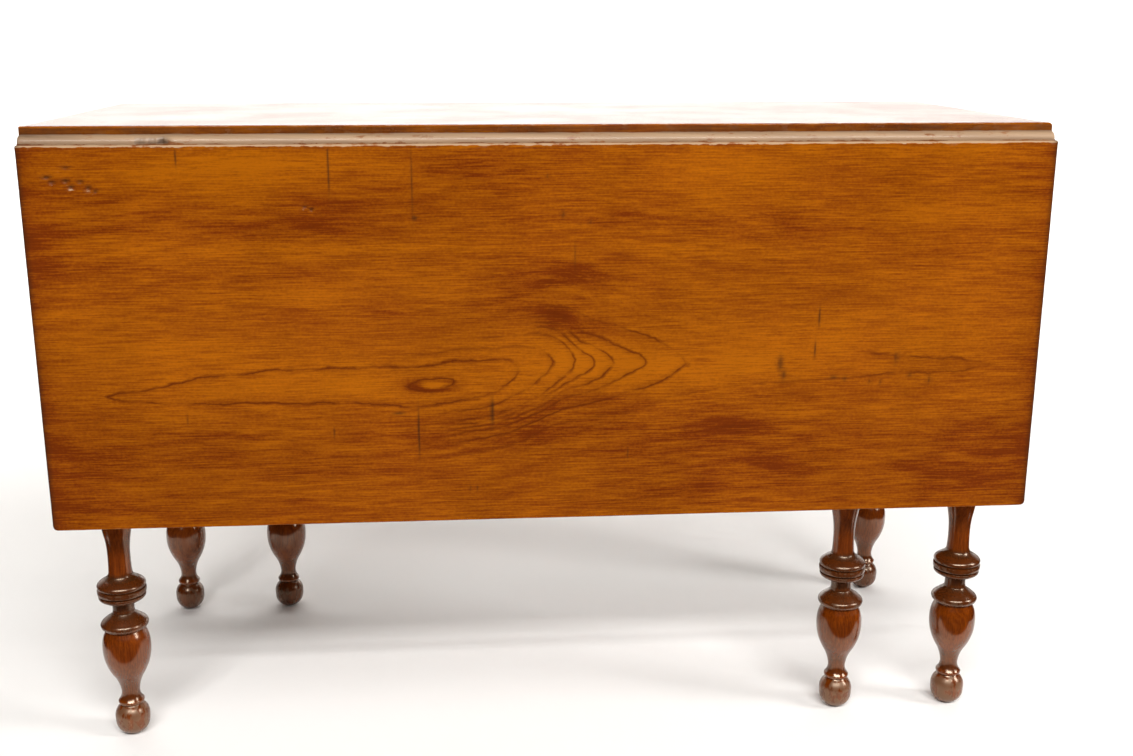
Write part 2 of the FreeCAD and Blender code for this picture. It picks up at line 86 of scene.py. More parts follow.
# Points of the boards
grain_step = 0.008               # between the points of a plain stretch of board
hidden_step = 0.032              # between the points of a hidden face
rail_step = 0.016                # between the points along a rail
figure_step = 0.0035             # between the points where the figure of the leaf bends
mark_step = 0.0010               # between the points in a dent or in the broken moulding
scratch_step = 0.0018            # least distance of all other points on a marked board
close_share = 0.7                # of that distance: a loose point nearer to a kept one is left out
mark_reach = 1.5                 # half lengths round a mark that have points of their own
mark_rows = 3                    # points in the half length of a long mark
figured_stretch = (-0.18, 0.20)  # where the figure of the leaf bends, along it and in height
figured_heights = (0.40, 0.54)
arc_angles = np.linspace(0, math.pi / 2, 6)
quarter = np.linspace(0, math.pi / 2, 12)    # angles up the moulding
hollow_rows = 10
groove_rows = 9
step_shares = (0.06, 0.25, 0.5, 0.7)         # points up the step of the top
rail_shares = np.linspace(0.05, 0.95, 12)    # points up the face of a rail
sharp_edge = math.radians(38)    # angle between two faces from which their edge stays sharp

# Worn ends and recesses of the boards
leaf_corner_radius = 0.006
top_end_radius = 0.0030          # to which the end arrises of the top are worn
top_end_room = 1.25              # radii of such an end arris that the top's own points keep clear
top_corner = (0.0065, 0.8)       # radius of the worn right end of the top, and share of it that is gone
corner_share = 1.15              # least radius of an arris at an end, for each metre the end is drawn in
end_loop_share = 0.006           # how far the loop round an end's own marks is drawn in towards the middle
hollow_tip_radius = 0.0005
recess_gap = 0.0001              # round a hinge plate in its recess
recess_wall = 0.00002            # slope of a recess wall, so that it has two rows of points
barrel_room = 0.0035             # radius of the groove round a hinge barrel
plate_thickness = 0.0022

# Irregular waves: seed, and the lengths of the sines
wave_lengths = (0.21, 0.083, 0.037, 0.019)
leaf_planing = ((7, (0.9, 0.31)), (8, (0.17, 0.061)))      # along and up the leaf
top_planing = ((17, (0.9, 0.31)), (18, (0.19, 0.067)))     # along and across the top
chip_wave = (21, (0.011, 0.0053, 0.0031))
streak_wave = (26, (0.19, 0.07, 0.031))
rail_wave = (33, (0.41, 0.16))
leg_wave_lengths = (0.55, 0.23)

# Values that wander along a board: mean, height of the wave, and its seed
leaf_arrises = ((0.80, 0.25, 1), (1.45, 0.40, 2), (0.60, 0.10, 3))    # radius of each arris, in worn radii
top_arrises = ((0.62, 0.22, 11), (0.62, 0.22, 12))
rail_arrises = ((1.00, 0.35, 31),)
wear_wave = (0.75, 0.25, 5)      # along an arris, for each unit of its wear
# The moulding is painted pale: partly worn finish, partly painted sheen where it faces the light from above
moulding_wear_and_sheen = (1.0, 0.15, 23)
step_stain = (0.60, 0.24, 24)

# Wear of the boards, from 0 to 1 or more
leaf_arris_wear = (0.15, 1.5, 0.6, 0.1)
top_arris_wear = (0.3, 0.3)
rail_arris_wear = (0.6,)
arris_focus = 1.6                # how quickly the wear falls off from the middle of an arris
tip_wear = 0.7                   # least wear of the tip between the leaf's top and its hollow
step_wear = 0.04
end_grain = {"stain": 0.30, "wear": 0.0, "tone": 0.2, "figure": 0.0, "end_grain": 1.0}    # at both ends

# Figure of the boards: the tree's heart runs along the board, and each table gives a place along the board
# and, there, the heart's depth behind the face, its height on the face or the roundness of the rings, where
# 2 is round. The lines are stretches in which rings show: place along, half length, side of the heart (1 is
# above, -1 is below, 0 is both), first and last ring, and strength.
leaf_heart_depths = (
    (-0.800, 0.060), (-0.495, 0.024), (-0.440, 0.020), (-0.300, 0.013), (-0.190, 0.0115), (-0.161, 0.009),
    (-0.135, 0.002), (-0.109, 0.009), (-0.085, 0.0135), (-0.060, 0.018), (-0.038, 0.024), (0.003, 0.036),
    (0.022, 0.047), (0.048, 0.052), (0.070, 0.057), (0.107, 0.063), (0.150, 0.073), (0.250, 0.080),
    (0.527, 0.088), (0.800, 0.120),
)
leaf_heart_heights = (
    (-0.800, 0.432), (-0.495, 0.437), (-0.300, 0.447), (-0.135, 0.445), (-0.060, 0.454), (0.000, 0.466),
    (0.100, 0.464), (0.527, 0.456), (0.800, 0.449),
)
leaf_ring_radii = (0.0, 0.009, 0.024, 0.036, 0.047, 0.052, 0.057, 0.063, 0.073, 0.088, 0.099, 0.110)
leaf_lean = 0.30                 # how far the figure leans back for each unit up the face
leaf_roundness = (
    (-0.800, 1.3), (-0.490, 1.3), (-0.380, 1.9), (-0.080, 2.4), (-0.030, 2.2), (0.010, 1.85), (0.100, 1.7),
    (0.200, 1.45), (0.800, 1.35),
)
leaf_lines = (
    (-0.270, 0.400, 0, 0.5, 2.5, 0.90), (0.030, 0.150, -1, 2.5, 8.5, 0.85),
    (0.085, 0.110, 1, 2.5, 8.5, 0.80), (-0.100, 0.120, 1, 2.5, 3.5, 0.50),
    (-0.040, 0.040, 1, 3.5, 4.5, 0.50), (0.460, 0.120, 0, 8.5, 9.5, 0.75),
    (0.200, 0.300, -1, 8.5, 9.5, 0.50),
)
plain_roundness = ((-0.800, 2.0), (0.800, 2.0))
rear_heart_depths = (
    (-0.800, 0.035), (-0.300, 0.030), (0.050, 0.020), (0.300, 0.034), (0.520, 0.052), (0.800, 0.090),
)
rear_heart_heights = ((-0.800, 0.520), (0.000, 0.545), (0.800, 0.530))
rear_lean = -0.15
top_heart_depths = (
    (-0.800, 0.075), (-0.430, 0.050), (-0.120, 0.028), (0.180, 0.024), (0.420, 0.045), (0.800, 0.085),
)
top_heart_heights = ((-0.800, -0.070), (-0.100, -0.045), (0.800, -0.030))
top_lean = 0.2
plain_ring_radii = (0.0, 0.012, 0.021, 0.032, 0.040, 0.051, 0.059, 0.071, 0.083, 0.097, 0.110)
leaf_tree = (leaf_heart_depths, leaf_heart_heights, leaf_roundness, leaf_ring_radii, leaf_lean)
rear_tree = (rear_heart_depths, rear_heart_heights, plain_roundness, plain_ring_radii, rear_lean)
top_tree = (top_heart_depths, top_heart_heights, plain_roundness, plain_ring_radii, top_lean)
smooth_window = np.hanning(9)    # weights of the moving mean that rounds off these tables
outer_ring_width = 0.013         # of the rings past the radii above
faint_line = 0.08                # strength of a ring line outside the stretches above
plain_line = 0.45                # and of the ring lines of the other pieces
line_fade = (0.75, 1.2)          # half lengths from its middle between which a stretch fades out
ring_fade = 0.15                 # rings on either side of a limit over which a stretch fades
side_fade = (-0.012, 0.004)      # heights over the heart between which a one-sided stretch starts
span_limits = (0.002, 0.040)     # between which the distance from ring to ring is kept
least_step = 0.00002             # added to each step round an outline, so that none is zero
heart_aside = 0.6                # share of the straight grain in mottling that follows the heart

# Marks on the front leaf: place along it and up it, half length, half height and strength, which is a dent's
# depth in metres. A zone is darker and redder than the rest where its strength is positive and more golden
# where it is negative.
leaf_zones = (
    (0.500, 0.335, 0.085, 0.045, 0.35), (0.010, 0.335, 0.130, 0.030, -0.22),
    (-0.138, 0.4445, 0.024, 0.0070, 1.7), (-0.134, 0.4445, 0.0155, 0.0046, -2.0),
    (0.040, 0.462, 0.110, 0.026, -0.25), (0.040, 0.418, 0.080, 0.013, 0.24),
    (-0.020, 0.399, 0.060, 0.010, 0.21), (0.000, 0.472, 0.700, 0.045, -0.20),
    (0.000, 0.339, 0.800, 0.050, 0.14), (-0.540, 0.324, 0.100, 0.060, 0.19),
    (-0.330, 0.688, 0.110, 0.024, -0.40), (-0.480, 0.634, 0.120, 0.024, 0.25),
    (-0.100, 0.684, 0.110, 0.022, 0.23), (0.195, 0.684, 0.090, 0.026, -0.42),
    (0.010, 0.554, 0.070, 0.040, 0.24), (0.280, 0.574, 0.170, 0.030, -0.10),
    (0.240, 0.379, 0.110, 0.035, 0.17), (-0.135, 0.445, 0.030, 0.009, 0.40),
    (-0.135, 0.4455, 0.014, 0.004, -0.70), (0.006, 0.520, 0.016, 0.012, 0.61),
    (0.034, 0.506, 0.028, 0.010, 0.32), (-0.050, 0.539, 0.040, 0.018, 0.21),
    (-0.020, 0.566, 0.060, 0.009, 0.29), (0.060, 0.386, 0.150, 0.012, 0.25),
    (0.205, 0.392, 0.042, 0.018, 0.36), (-0.080, 0.378, 0.060, 0.008, 0.26),
    (0.235, 0.339, 0.055, 0.018, 0.25), (0.110, 0.356, 0.060, 0.010, 0.21),
    (0.150, 0.314, 0.070, 0.012, 0.29), (-0.270, 0.624, 0.085, 0.012, 0.32),
    (-0.235, 0.646, 0.060, 0.014, 0.26), (-0.080, 0.678, 0.055, 0.014, 0.32),
    (-0.545, 0.604, 0.030, 0.045, 0.25), (-0.500, 0.579, 0.060, 0.010, 0.21),
    (0.260, 0.619, 0.090, 0.020, 0.21), (0.040, 0.628, 0.080, 0.009, 0.25),
    (-0.175, 0.539, 0.050, 0.014, 0.21), (-0.300, 0.529, 0.070, 0.010, 0.19),
    (-0.385, 0.388, 0.060, 0.007, 0.29), (-0.160, 0.384, 0.030, 0.016, 0.21),
    (0.480, 0.306, 0.090, 0.014, 0.26), (0.400, 0.579, 0.120, 0.012, 0.17),
    (0.170, 0.464, 0.014, 0.014, 0.25), (-0.250, 0.447, 0.170, 0.016, -0.30),
    (0.215, 0.464, 0.070, 0.022, -0.30), (-0.180, 0.600, 0.260, 0.006, -0.25),
    (0.060, 0.464, 0.070, 0.014, -0.25), (-0.420, 0.494, 0.120, 0.012, -0.15),
    (0.330, 0.514, 0.150, 0.020, -0.15), (0.120, 0.596, 0.130, 0.007, -0.20),
    (-0.350, 0.666, 0.070, 0.012, -0.15),
)
end_shade = (0.45, 0.014)        # painted shade: how much darker the ends of a leaf are, and over what length
end_grime_and_shade = (0.90, 0.0045)       # dirt and painted shade on the worn end arrises, and over what length
leaf_scratches = (
    (-0.1505, 0.390, 0.0007, 0.024, 1.52), (-0.239, 0.686, 0.0009, 0.022, 1.42),
    (-0.151, 0.672, 0.0006, 0.035, 0.76), (-0.0675, 0.413, 0.0007, 0.014, 1.23),
    (0.302, 0.516, 0.0010, 0.010, 1.14), (0.299, 0.478, 0.0010, 0.009, 1.04),
    (-0.398, 0.698, 0.0008, 0.009, 1.04), (-0.245, 0.392, 0.0009, 0.006, 0.76),
    (0.086, 0.360, 0.0009, 0.006, 0.66), (0.393, 0.467, 0.0012, 0.007, 0.59),
    (0.025, 0.589, 0.0010, 0.012, 0.57), (-0.149, 0.632, 0.0024, 0.0024, 1.23),
    (-0.172, 0.413, 0.0060, 0.0018, 0.91), (-0.005, 0.676, 0.0014, 0.0022, 0.72),
    (0.012, 0.634, 0.0022, 0.0040, 0.72), (0.042, 0.626, 0.0024, 0.0026, 0.52),
    (0.2595, 0.462, 0.0032, 0.0090, 0.98), (0.264, 0.449, 0.0030, 0.0060, 0.85),
    (0.322, 0.445, 0.0050, 0.0020, 0.78), (0.335, 0.443, 0.0030, 0.0030, 0.72),
    (0.364, 0.439, 0.0014, 0.0030, 0.65), (0.377, 0.438, 0.0014, 0.0036, 0.65),
    (0.411, 0.446, 0.0026, 0.0026, 0.72), (0.434, 0.440, 0.0016, 0.0042, 0.78),
    (-0.094, 0.322, 0.0012, 0.0036, 0.59), (-0.086, 0.322, 0.0010, 0.0036, 0.76),
    (-0.405, 0.410, 0.0008, 0.0060, 0.57),
)
leaf_dents = (
    (-0.532, 0.678, 0.0050, 0.0018, 0.0016), (-0.527, 0.673, 0.0040, 0.0016, 0.0015),
    (-0.513, 0.674, 0.0040, 0.0022, 0.0016), (-0.508, 0.668, 0.0036, 0.0016, 0.0015),
    (-0.498, 0.673, 0.0034, 0.0018, 0.0014), (-0.490, 0.667, 0.0030, 0.0022, 0.0014),
    (-0.483, 0.663, 0.0030, 0.0018, 0.0012), (-0.512, 0.688, 0.0050, 0.0016, 0.0010),
    (-0.259, 0.642, 0.0026, 0.0020, 0.0014), (-0.266, 0.645, 0.0030, 0.0012, 0.0010),
)
dent_stain = 1.0                 # how dark the bottom of the deepest dent is
dent_lip_wear_and_highlight = (0.0026, 0.36)        # how far under a dent its lip is, and how pale: bruise and painted highlight

# Broken stretch of the front moulding over the left hinge, and stains and painted shade on moulding and step
chip_span = (-0.442, -0.41)
chip_margins = (0.002, 0.014)    # lengths before and after it that have close points too
chip_depth = 0.0014
chip_slope = 0.0015              # length in which it reaches its depth at either end
chip_rise = (1.25, 0.9)          # it thins out up the moulding as the first less the angle over the second
chip_ragged = (0.55, 0.45)       # least share of its depth, and share that comes and goes
chip_fullness = 1.4              # how far up the moulding its full depth goes
chip_hole = (-0.41, 0.0055)      # dark hole at its end: place and half length
hole_share = 1.2                 # depth of the hole, in depths of the broken stretch
dark_end_length = 0.055          # of the dark left end of the step and moulding
step_end_stain = 0.4
streak_slant = 0.13              # how far a streak moves along for each radian up the moulding
gap_angle = 0.5                  # up to which dirt from the gap over the leaf reaches
# The layer under the step is painted shade in the crease at the step's foot; the others are stains and dirt
moulding_stains_and_shade = {
    "all_over": 0.10, "streaks": 0.14, "under_step": 0.45, "by_gap": 0.25, "dark_end": 0.35, "hole": 0.95,
    "broken": 0.5,
}

# Turned members of a leg, from the floor up: height, radius, and an outline as share of the height, share of
# the radius, and bow of the stretch that ends there as a share of that stretch
block_bottom = 0.559
shoulder_rise = 0.034            # height in which the turned shoulder of a block doubles its radius
lower_members = (
    (0.0440, 0.0200, (
        (0.00, 0.35, 0.00), (0.46, 1.00, 0.18), (0.86, 0.67, 0.14), (0.885, 0.63, 0.00),
        (0.92, 0.73, 0.00), (1.00, 0.745, 0.12),
    )),
    (0.0930, 0.0278, (
        (0.14, 0.385, -0.12), (0.37, 0.66, -0.06), (0.765, 1.00, 0.075), (0.88, 0.955, 0.03),
        (0.955, 0.86, 0.03), (1.00, 0.79, 0.00),
    )),
    (0.0255, 0.0275, (
        (0.02, 0.80, 0.00), (0.08, 0.905, 0.00), (0.29, 1.00, 0.15), (0.44, 0.90, 0.10),
        (0.63, 0.68, 0.02), (0.82, 0.47, -0.04), (1.00, 0.45, 0.00),
    )),
    (0.0655, 0.0282, (
        (0.145, 0.44, 0.00), (0.20, 0.85, 0.10), (0.24, 0.955, 0.10), (0.275, 0.96, 0.06),
        (0.296, 0.87, 0.00), (0.318, 0.985, 0.00), (0.398, 0.995, 0.05), (0.42, 0.885, 0.00),
        (0.442, 0.975, 0.00), (0.485, 0.985, 0.05), (0.53, 0.90, 0.08), (0.585, 0.70, 0.02),
        (0.65, 0.525, -0.06), (0.73, 0.475, -0.06), (1.00, 0.455, -0.01),
    )),
)
column_radius = 0.0276
column_shares = (
    (0.105, 0.565, -0.03), (0.26, 0.77, 0.01), (0.525, 0.98, 0.04), (0.77, 0.815, 0.04),
    (1.00, 0.565, -0.03),
)
capital_height = 0.053
capital_radius = 0.029
capital_shares = (
    (0.066, 0.69, 0.00), (0.255, 0.69, 0.35), (0.30, 0.64, 0.00), (0.566, 0.92, -0.15), (0.62, 0.95, 0.00),
    (0.81, 0.95, 0.20), (0.86, 0.83, 0.00), (1.00, 0.83, 0.00),
)
stretch_shares = np.array((0.0, 0.04, 0.16, 0.28, 0.40, 0.52, 0.64, 0.76, 0.88, 0.96))
arris_easing = (0.25, 0.5, 0.25)             # weights of a point and its neighbours that ease the arrises
leg_sides = 72
shoulder_rows = 14
block_rows = 9
block_corner_power = 26          # the higher, the sharper the arrises of the blocks
block_corner_angle = 0.03        # on either side of an arris, where the block has points too
block_arris = (1.25, 0.12)       # half widths from the axis where the wear of an arris starts, and its reach
block_wear = 0.45
leg_ring_width = 0.0032
leg_heart = 0.045                # distance of the tree's heart from a leg's axis
leg_sway = 0.004                 # how far the rings sway along a leg
turn_spread = (0.5, 0.8, 1.0, 0.8, 0.5)      # how far a ridge or groove of the turning marks its neighbours
turn_strength = 1.6
ridge_wear = (0.15, 0.4)         # how sharp a ridge has to be to be worn, and how worn it is
foot_height = 0.044
foot_top = 0.8                   # share of that height from which a foot's own marks fade
foot_scuffs = {"leg_rear_left": 0.05, "leg_rear_right": 0.05, "swing_leg_rear": 0.05}
foot_scuff = 0.42                # how worn the other feet are
unworn_foot_shade = 0.55                 # painted shade: how dark the unworn rear feet under the table are
leg_dirt = (0.137, 0.204, 0.74)  # heights between which grime sits on disc and ring, and how dark it is
dirt_fades = (0.004, 0.006)      # heights over which it starts and ends
rail_ring_width = 0.011
rail_ring_slope = 0.3            # how far the rings rise for each unit through a rail
rail_sway = 0.006

# Noises of the finishes: cells to the metre along and across the grain, detail and roughness
noises = {
    "broad": (3.0, 26.0, 3.0, 0.55),
    "mottle": (13.0, 85.0, 4.0, 0.62),
    "fibre": (20.0, 620.0, 3.0, 0.62),
    "weave": (320.0, 420.0, 2.0, 0.6),
    "sway": (16.0, 30.0, 2.0, 0.5),
    "shake": (75.0, 130.0, 3.0, 0.6),
    "breaks": (26.0, 45.0, 2.0, 0.5),
    "pores": (70.0, 1300.0, 1.0, 0.5),
    "cloud": (7.0, 7.0, 4.0, 0.6),
    "patch": (60.0, 130.0, 4.0, 0.65),
    "rust": (140.0, 140.0, 4.0, 0.6),
    "pits": (900.0, 900.0, 2.0, 0.6),
    "paper": (1.3, 1.3, 3.0, 0.5),
}

# Grain: ranges are the stretch of a noise and, if it isn't 0 to 1, what that stretch becomes
streak_weights = (0.18, 0.20, 0.46, 0.16)    # of broad, mottle, fibre and weave in the streaks
streak_range = (0.345, 0.655)
zone_range = (0.30, 0.70, 0.60, 1.35)        # how much of a zone shows in the mottling
deep_wood = (0.95, 0.55)                     # tone past which the wood is darker than its streaks, and slope
deep_colour = (0.030, 0.0045, 0.0005, 1.0)
line_shifts = (0.012, 0.006)                 # metres that sway and shake move a ring line
line_edges = (0.0003, 0.0024)                # half width of a ring line's core, and of the whole line
late_wood = 0.009                            # width of the darker wood before a line
line_weights = (0.78, 0.34)                  # of the line and of the darker wood
break_range = (0.32, 0.56, 0.20, 1.0)
pore_range = (0.60, 0.72)
pore_strength = 0.40
grain_heights = (-0.6, 0.35, -0.25)          # of pores, fibres and ring lines in the bump
bump_depth = 0.0003

# Varnish
shade_range = (0.32, 0.68, 0.92, 1.06)       # brightness of the cloudy varnish
patch_range = (0.32, 0.68)
bare_range = (-0.25, 0.25)                   # edge of a pale patch: varnish worn bare, and painted sheen
wear_onset = 4.0                             # the higher, the less wear and sheen a patch needs to show
# Dark cover: dirt and stains, and painted shade on the end arrises, under the step and on the rear feet
dirt_and_shade_range = (0.3, 0.6, 0.75, 1.0)
dirt_and_shade_cover = 0.85
dirt_and_shade_colour = (0.034, 0.0115, 0.003, 1.0)
dull_range = (0.3, 0.7, 0.02, 0.10)          # roughness of the cloudy varnish
roughness_weights = (0.24, 0.1, 1.0)         # of pale patches, dark cover and cloudy varnish
coat_roughness = 0.09

# Finishes of the woods: roughness, coat weight, specular level, strength of the bump and tint of the gloss
clear = (1.0, 1.0, 1.0, 1.0)
finishes = {
    "top_varnish": (0.16, 0.14, 0.32, 0.08, clear),
    "board_varnish": (0.26, 0.0, 0.05, 0.2, clear),
    "leg_varnish": (0.10, 0.0, 0.95, 0.10, (1.0, 0.80, 0.60, 1.0)),
    "end_rail_varnish": (0.42, 0.0, 0.35, 0.3, clear),
    "bare_rail_wood": (0.52, 0.0, 0.3, 0.5, clear),
}
along_x, along_y, along_z = range(3)         # axis of a piece's grain

# Iron: stretch of the rust noise, and roughness and metal from bare to rusty
rust_range = (0.42, 0.60)
iron_roughness = (0.42, 0.85)
iron_metal = (0.9, 0.1)
pit_strength = 0.4

# Camera
photo_width = 1133
focal_pixels = 1330.6
sensor_width = 36.0              # millimetres


class BoardSettings(bpy.types.PropertyGroup):
    """Wear and colours of the top and the leaves."""

    arris_radius: FloatProperty(
        name="Worn arris", description="Radius to which the long arrises are worn", default=0.0019,
        unit="LENGTH", precision=4)
    end_radius: FloatProperty(
        name="Worn ends", description="Radius to which the end arrises are worn", default=0.0022,
        unit="LENGTH", precision=4)
    relief: FloatProperty(
        name="Hand planing", description="Depth of the waves that the plane left", default=0.00025,
        unit="LENGTH", precision=5)
    light: FloatVectorProperty(
        name="Light grain", description="Colour of the light streaks", subtype="COLOR", size=4,
        default=(0.312, 0.084, 0.0008, 1.0), min=0, max=1)
    dark: FloatVectorProperty(
        name="Dark grain", description="Colour of the dark streaks", subtype="COLOR", size=4,
        default=(0.130, 0.0205, 0.0006, 1.0), min=0, max=1)
    line: FloatVectorProperty(
        name="Ring line", description="Colour of the late wood of each ring", subtype="COLOR", size=4,
        default=(0.100, 0.0165, 0.0006, 1.0), min=0, max=1)
    # Also the colour of the painted sheen on the moulding and of the painted highlight on the dent lips
    worn: FloatVectorProperty(
        name="Worn wood", description="Colour where the varnish has worn off", subtype="COLOR", size=4,
        default=(0.385, 0.247, 0.144, 1.0), min=0, max=1)


class LegSettings(bpy.types.PropertyGroup):
    """Shape and colours of the turned legs."""

    ovality: FloatProperty(
        name="Ovality", description="How far the legs have shrunk out of round", default=0.004,
        subtype="FACTOR")
    light: FloatVectorProperty(
        name="Light grain", description="Colour of the light streaks", subtype="COLOR", size=4,
        default=(0.208, 0.040, 0.0015, 1.0), min=0, max=1)
    dark: FloatVectorProperty(
        name="Dark grain", description="Colour of the dark streaks", subtype="COLOR", size=4,
        default=(0.092, 0.0145, 0.001, 1.0), min=0, max=1)
    line: FloatVectorProperty(
        name="Ring line", description="Colour of the late wood of each ring", subtype="COLOR", size=4,
        default=(0.040, 0.006, 0.001, 1.0), min=0, max=1)
    worn: FloatVectorProperty(
        name="Worn wood", description="Colour where the varnish has worn off", subtype="COLOR", size=4,
        default=(0.128, 0.052, 0.022, 1.0), min=0, max=1)


class RailSettings(bpy.types.PropertyGroup):
    """Wear and colours of the rails and blocks under the top."""

    arris_radius: FloatProperty(
        name="Eased arris", description="Radius of the arrises of the rails", default=0.0012,
        unit="LENGTH", precision=4)
    light: FloatVectorProperty(
        name="Light grain", description="Colour of the light streaks of bare wood", subtype="COLOR", size=4,
        default=(0.34, 0.175, 0.078, 1.0), min=0, max=1)
    dark: FloatVectorProperty(
        name="Dark grain", description="Colour of the dark streaks of bare wood", subtype="COLOR", size=4,
        default=(0.20, 0.088, 0.036, 1.0), min=0, max=1)


class IronSettings(bpy.types.PropertyGroup):
    """Colours of the hinges, pins and screws."""

    bare: FloatVectorProperty(
        name="Iron", description="Colour of the forged iron", subtype="COLOR", size=4,
        default=(0.16, 0.15, 0.14, 1.0), min=0, max=1)
    rust: FloatVectorProperty(
        name="Rust", description="Colour of the rust film", subtype="COLOR", size=4,
        default=(0.10, 0.045, 0.022, 1.0), min=0, max=1)


class StageSettings(bpy.types.PropertyGroup):
    """Floor, light and camera."""

    floor: FloatVectorProperty(
        name="Floor", description="Colour of the floor and backdrop", subtype="COLOR", size=4,
        default=(0.90, 0.88, 0.855, 1.0), min=0, max=1)
    sky: FloatProperty(
        name="Sky", description="Strength of the even light from all round", default=0.18, min=0)
    main: FloatProperty(
        name="Main lamp", description="Power of the large lamp above and in front", default=370.0,
        unit="POWER")
    side: FloatProperty(
        name="Side lamp", description="Power of the lamp on the right", default=110.0, unit="POWER")
    backdrop: FloatProperty(
        name="Backdrop lamp", description="Power of the long lamp over the backdrop", default=260.0,
        unit="POWER")
    camera_place: FloatVectorProperty(
        name="Camera", description="Where the camera stands", subtype="TRANSLATION", unit="LENGTH",
        default=(-0.1006, -1.6809, 0.8303))
    camera_yaw: FloatProperty(
        name="Yaw", description="Camera's turn to the right", subtype="ANGLE", default=math.radians(4.616))
    camera_pitch: FloatProperty(
        name="Pitch", description="Camera's tilt below the horizon",
        subtype="ANGLE", default=math.radians(14.722))
    camera_roll: FloatProperty(
        name="Roll", description="Camera's turn about its own axis",
        subtype="ANGLE", default=math.radians(0.101))


# Meshes

def outward(points, quads):
    """True if the quads face away from the middle: the sum of a . (b x c) over their halves is positive."""
    centred = points - points.mean(axis=0)
    a, b, c, d = (centred[quads[:, corner]] for corner in range(4))
    halves = np.einsum("ij,ij->i", a, np.cross(b, c)) + np.einsum("ij,ij->i", a, np.cross(c, d))
    return halves.sum() > 0


def linked_piece(name, mesh, material):
    """Object of a finished mesh, smooth, in its material and in the scene."""
    mesh.polygons.foreach_set("use_smooth", np.ones(len(mesh.polygons), dtype=bool))
    mesh.materials.append(material)
    piece = bpy.data.objects.new(name, mesh)
    bpy.context.scene.collection.objects.link(piece)
    return piece


def tube_piece(name, loops, marks, material, end_marks=None):
    """Closed piece from loops of points, an array (loops, points round, 3), joined by quads and capped.

    marks maps an attribute's name to its value at every point. With end_marks the caps carry those values
    instead, from one more loop at each end: the last one drawn in by a small share towards its middle.
    """
    marks = {mark: np.broadcast_to(values, loops.shape[:2]) for mark, values in marks.items()}
    if end_marks is not None:
        ends = loops[[0, -1]]
        inner = ends + end_loop_share * (ends.mean(axis=1, keepdims=True) - ends)
        loops = np.concatenate([inner[:1], loops, inner[1:]])
        for mark, values in marks.items():
            first, last = (np.full(values.shape[1], end_marks.get(mark, values[end])) for end in (0, -1))
            marks[mark] = np.vstack([first, values, last])
    count, around = loops.shape[:2]
    points = loops.reshape(-1, 3)
    index = np.arange(count * around).reshape(count, around)
    after = np.roll(index, -1, axis=1)
    quads = np.stack([index[:-1], index[1:], after[1:], after[:-1]], axis=-1).reshape(-1, 4)
    caps = [index[0], index[-1, ::-1]]
    if not outward(points, quads):
        quads = quads[:, ::-1]
        caps = [cap[::-1] for cap in caps]
    mesh = bpy.data.meshes.new(name)
    mesh.from_pydata(points, [], quads.tolist() + [cap.tolist() for cap in caps])
    mesh.validate()
    piece = linked_piece(name, mesh, material)
    mesh.set_sharp_from_angle(angle=sharp_edge)
    for mark, values in marks.items():
        layer = mesh.attributes.new(mark, "FLOAT", "POINT")
        layer.data.foreach_set("value", values.astype(np.float32).ravel())
    mesh.update()
    return piece


def even_places(start, end, step):
    """Evenly spaced places from start to end, at most a step apart."""
    return np.linspace(start, end, int(math.ceil(abs(end - start) / step)) + 1)


def fallback(distance, radius):
    """How far a rounded end of this radius falls back at a distance d from it: r - sqrt(r^2 - (r - d)^2)."""
    short = radius - np.clip(distance, 0, radius)
    return radius - np.sqrt(radius ** 2 - short ** 2)


def eased(value, start, end):
    """Smooth step of a value from 0 at the start to 1 at the end."""
    share = np.clip((value - start) / (end - start), 0, 1)
    return share * share * (3 - 2 * share)


def wander(places, seed, lengths=wave_lengths):
    """Slow irregular wave, about -1 to 1: sines of these lengths with seeded phases, each half as high."""
    phases = np.random.default_rng(seed).uniform(0, 2 * math.pi, len(lengths))
    heights = 0.5 ** np.arange(len(lengths))
    waves = np.sin(2 * math.pi * places[..., None] / np.array(lengths) + phases)
    return (waves * heights).sum(axis=-1) / heights.sum()


def waved(along, wave):
    """Value that wanders along a board: mean + height * wave, from a wave's mean, height and seed."""
    mean, height, seed = wave
    return mean + height * wander(along, seed)


def planing(along, across, waves):
    """Hollows that a hand plane leaves, between about 0 and 2: one plus the mean of a wave each way."""
    lengthwise, crosswise = waves
    return 1 + (wander(along, *lengthwise) * 0.5 + wander(across, *crosswise) * 0.5)


# Figure

def smooth_curve(table, places):
    """Heights at these places of a curve through a table of (place, height), rounded by a moving mean."""
    knots = np.array(table)
    fine = np.arange(knots[0, 0], knots[-1, 0], figure_step)
    heights = np.interp(fine, knots[:, 0], knots[:, 1])
    padded = np.pad(heights, len(smooth_window) // 2, mode="edge")
    return np.interp(places, fine, np.convolve(padded, smooth_window / smooth_window.sum(), mode="valid"))


def growth_rings(along, up, depth, tree):
    """Distance from the tree's heart at each point, number of its growth ring, and height above the heart.

    The distance is (|u - h|^p + (d + t)^p)^(1/p), where h, d and the roundness p are the heart's height, its
    depth and the power at the place l - lean * (u - h), and t is the point's own depth behind the face.
    """
    heart_depths, heart_heights, roundness, radii, lean = tree
    rise = up - smooth_curve(heart_heights, along)
    leaned = along - lean * rise
    power = smooth_curve(roundness, leaned)
    heart = (np.abs(rise) ** power + (smooth_curve(heart_depths, leaned) + depth) ** power) ** (1 / power)
    beyond = np.maximum(heart - radii[-1], 0) / outer_ring_width
    return heart, np.interp(heart, radii, np.arange(len(radii))) + beyond, rise


def ring_span(rings, along, loops):
    """Metres from ring line to ring line: 1 / |gradient of the ring number| along the board and round it."""
    steps = np.linalg.norm(np.diff(loops.mean(axis=0), axis=0), axis=1) + least_step
    around = np.concatenate([[0.0], np.cumsum(steps)])
    slope = np.hypot(np.gradient(rings, along, axis=0), np.gradient(rings, around, axis=1))
    return np.clip(1 / np.maximum(slope, 1 / span_limits[1]), *span_limits)


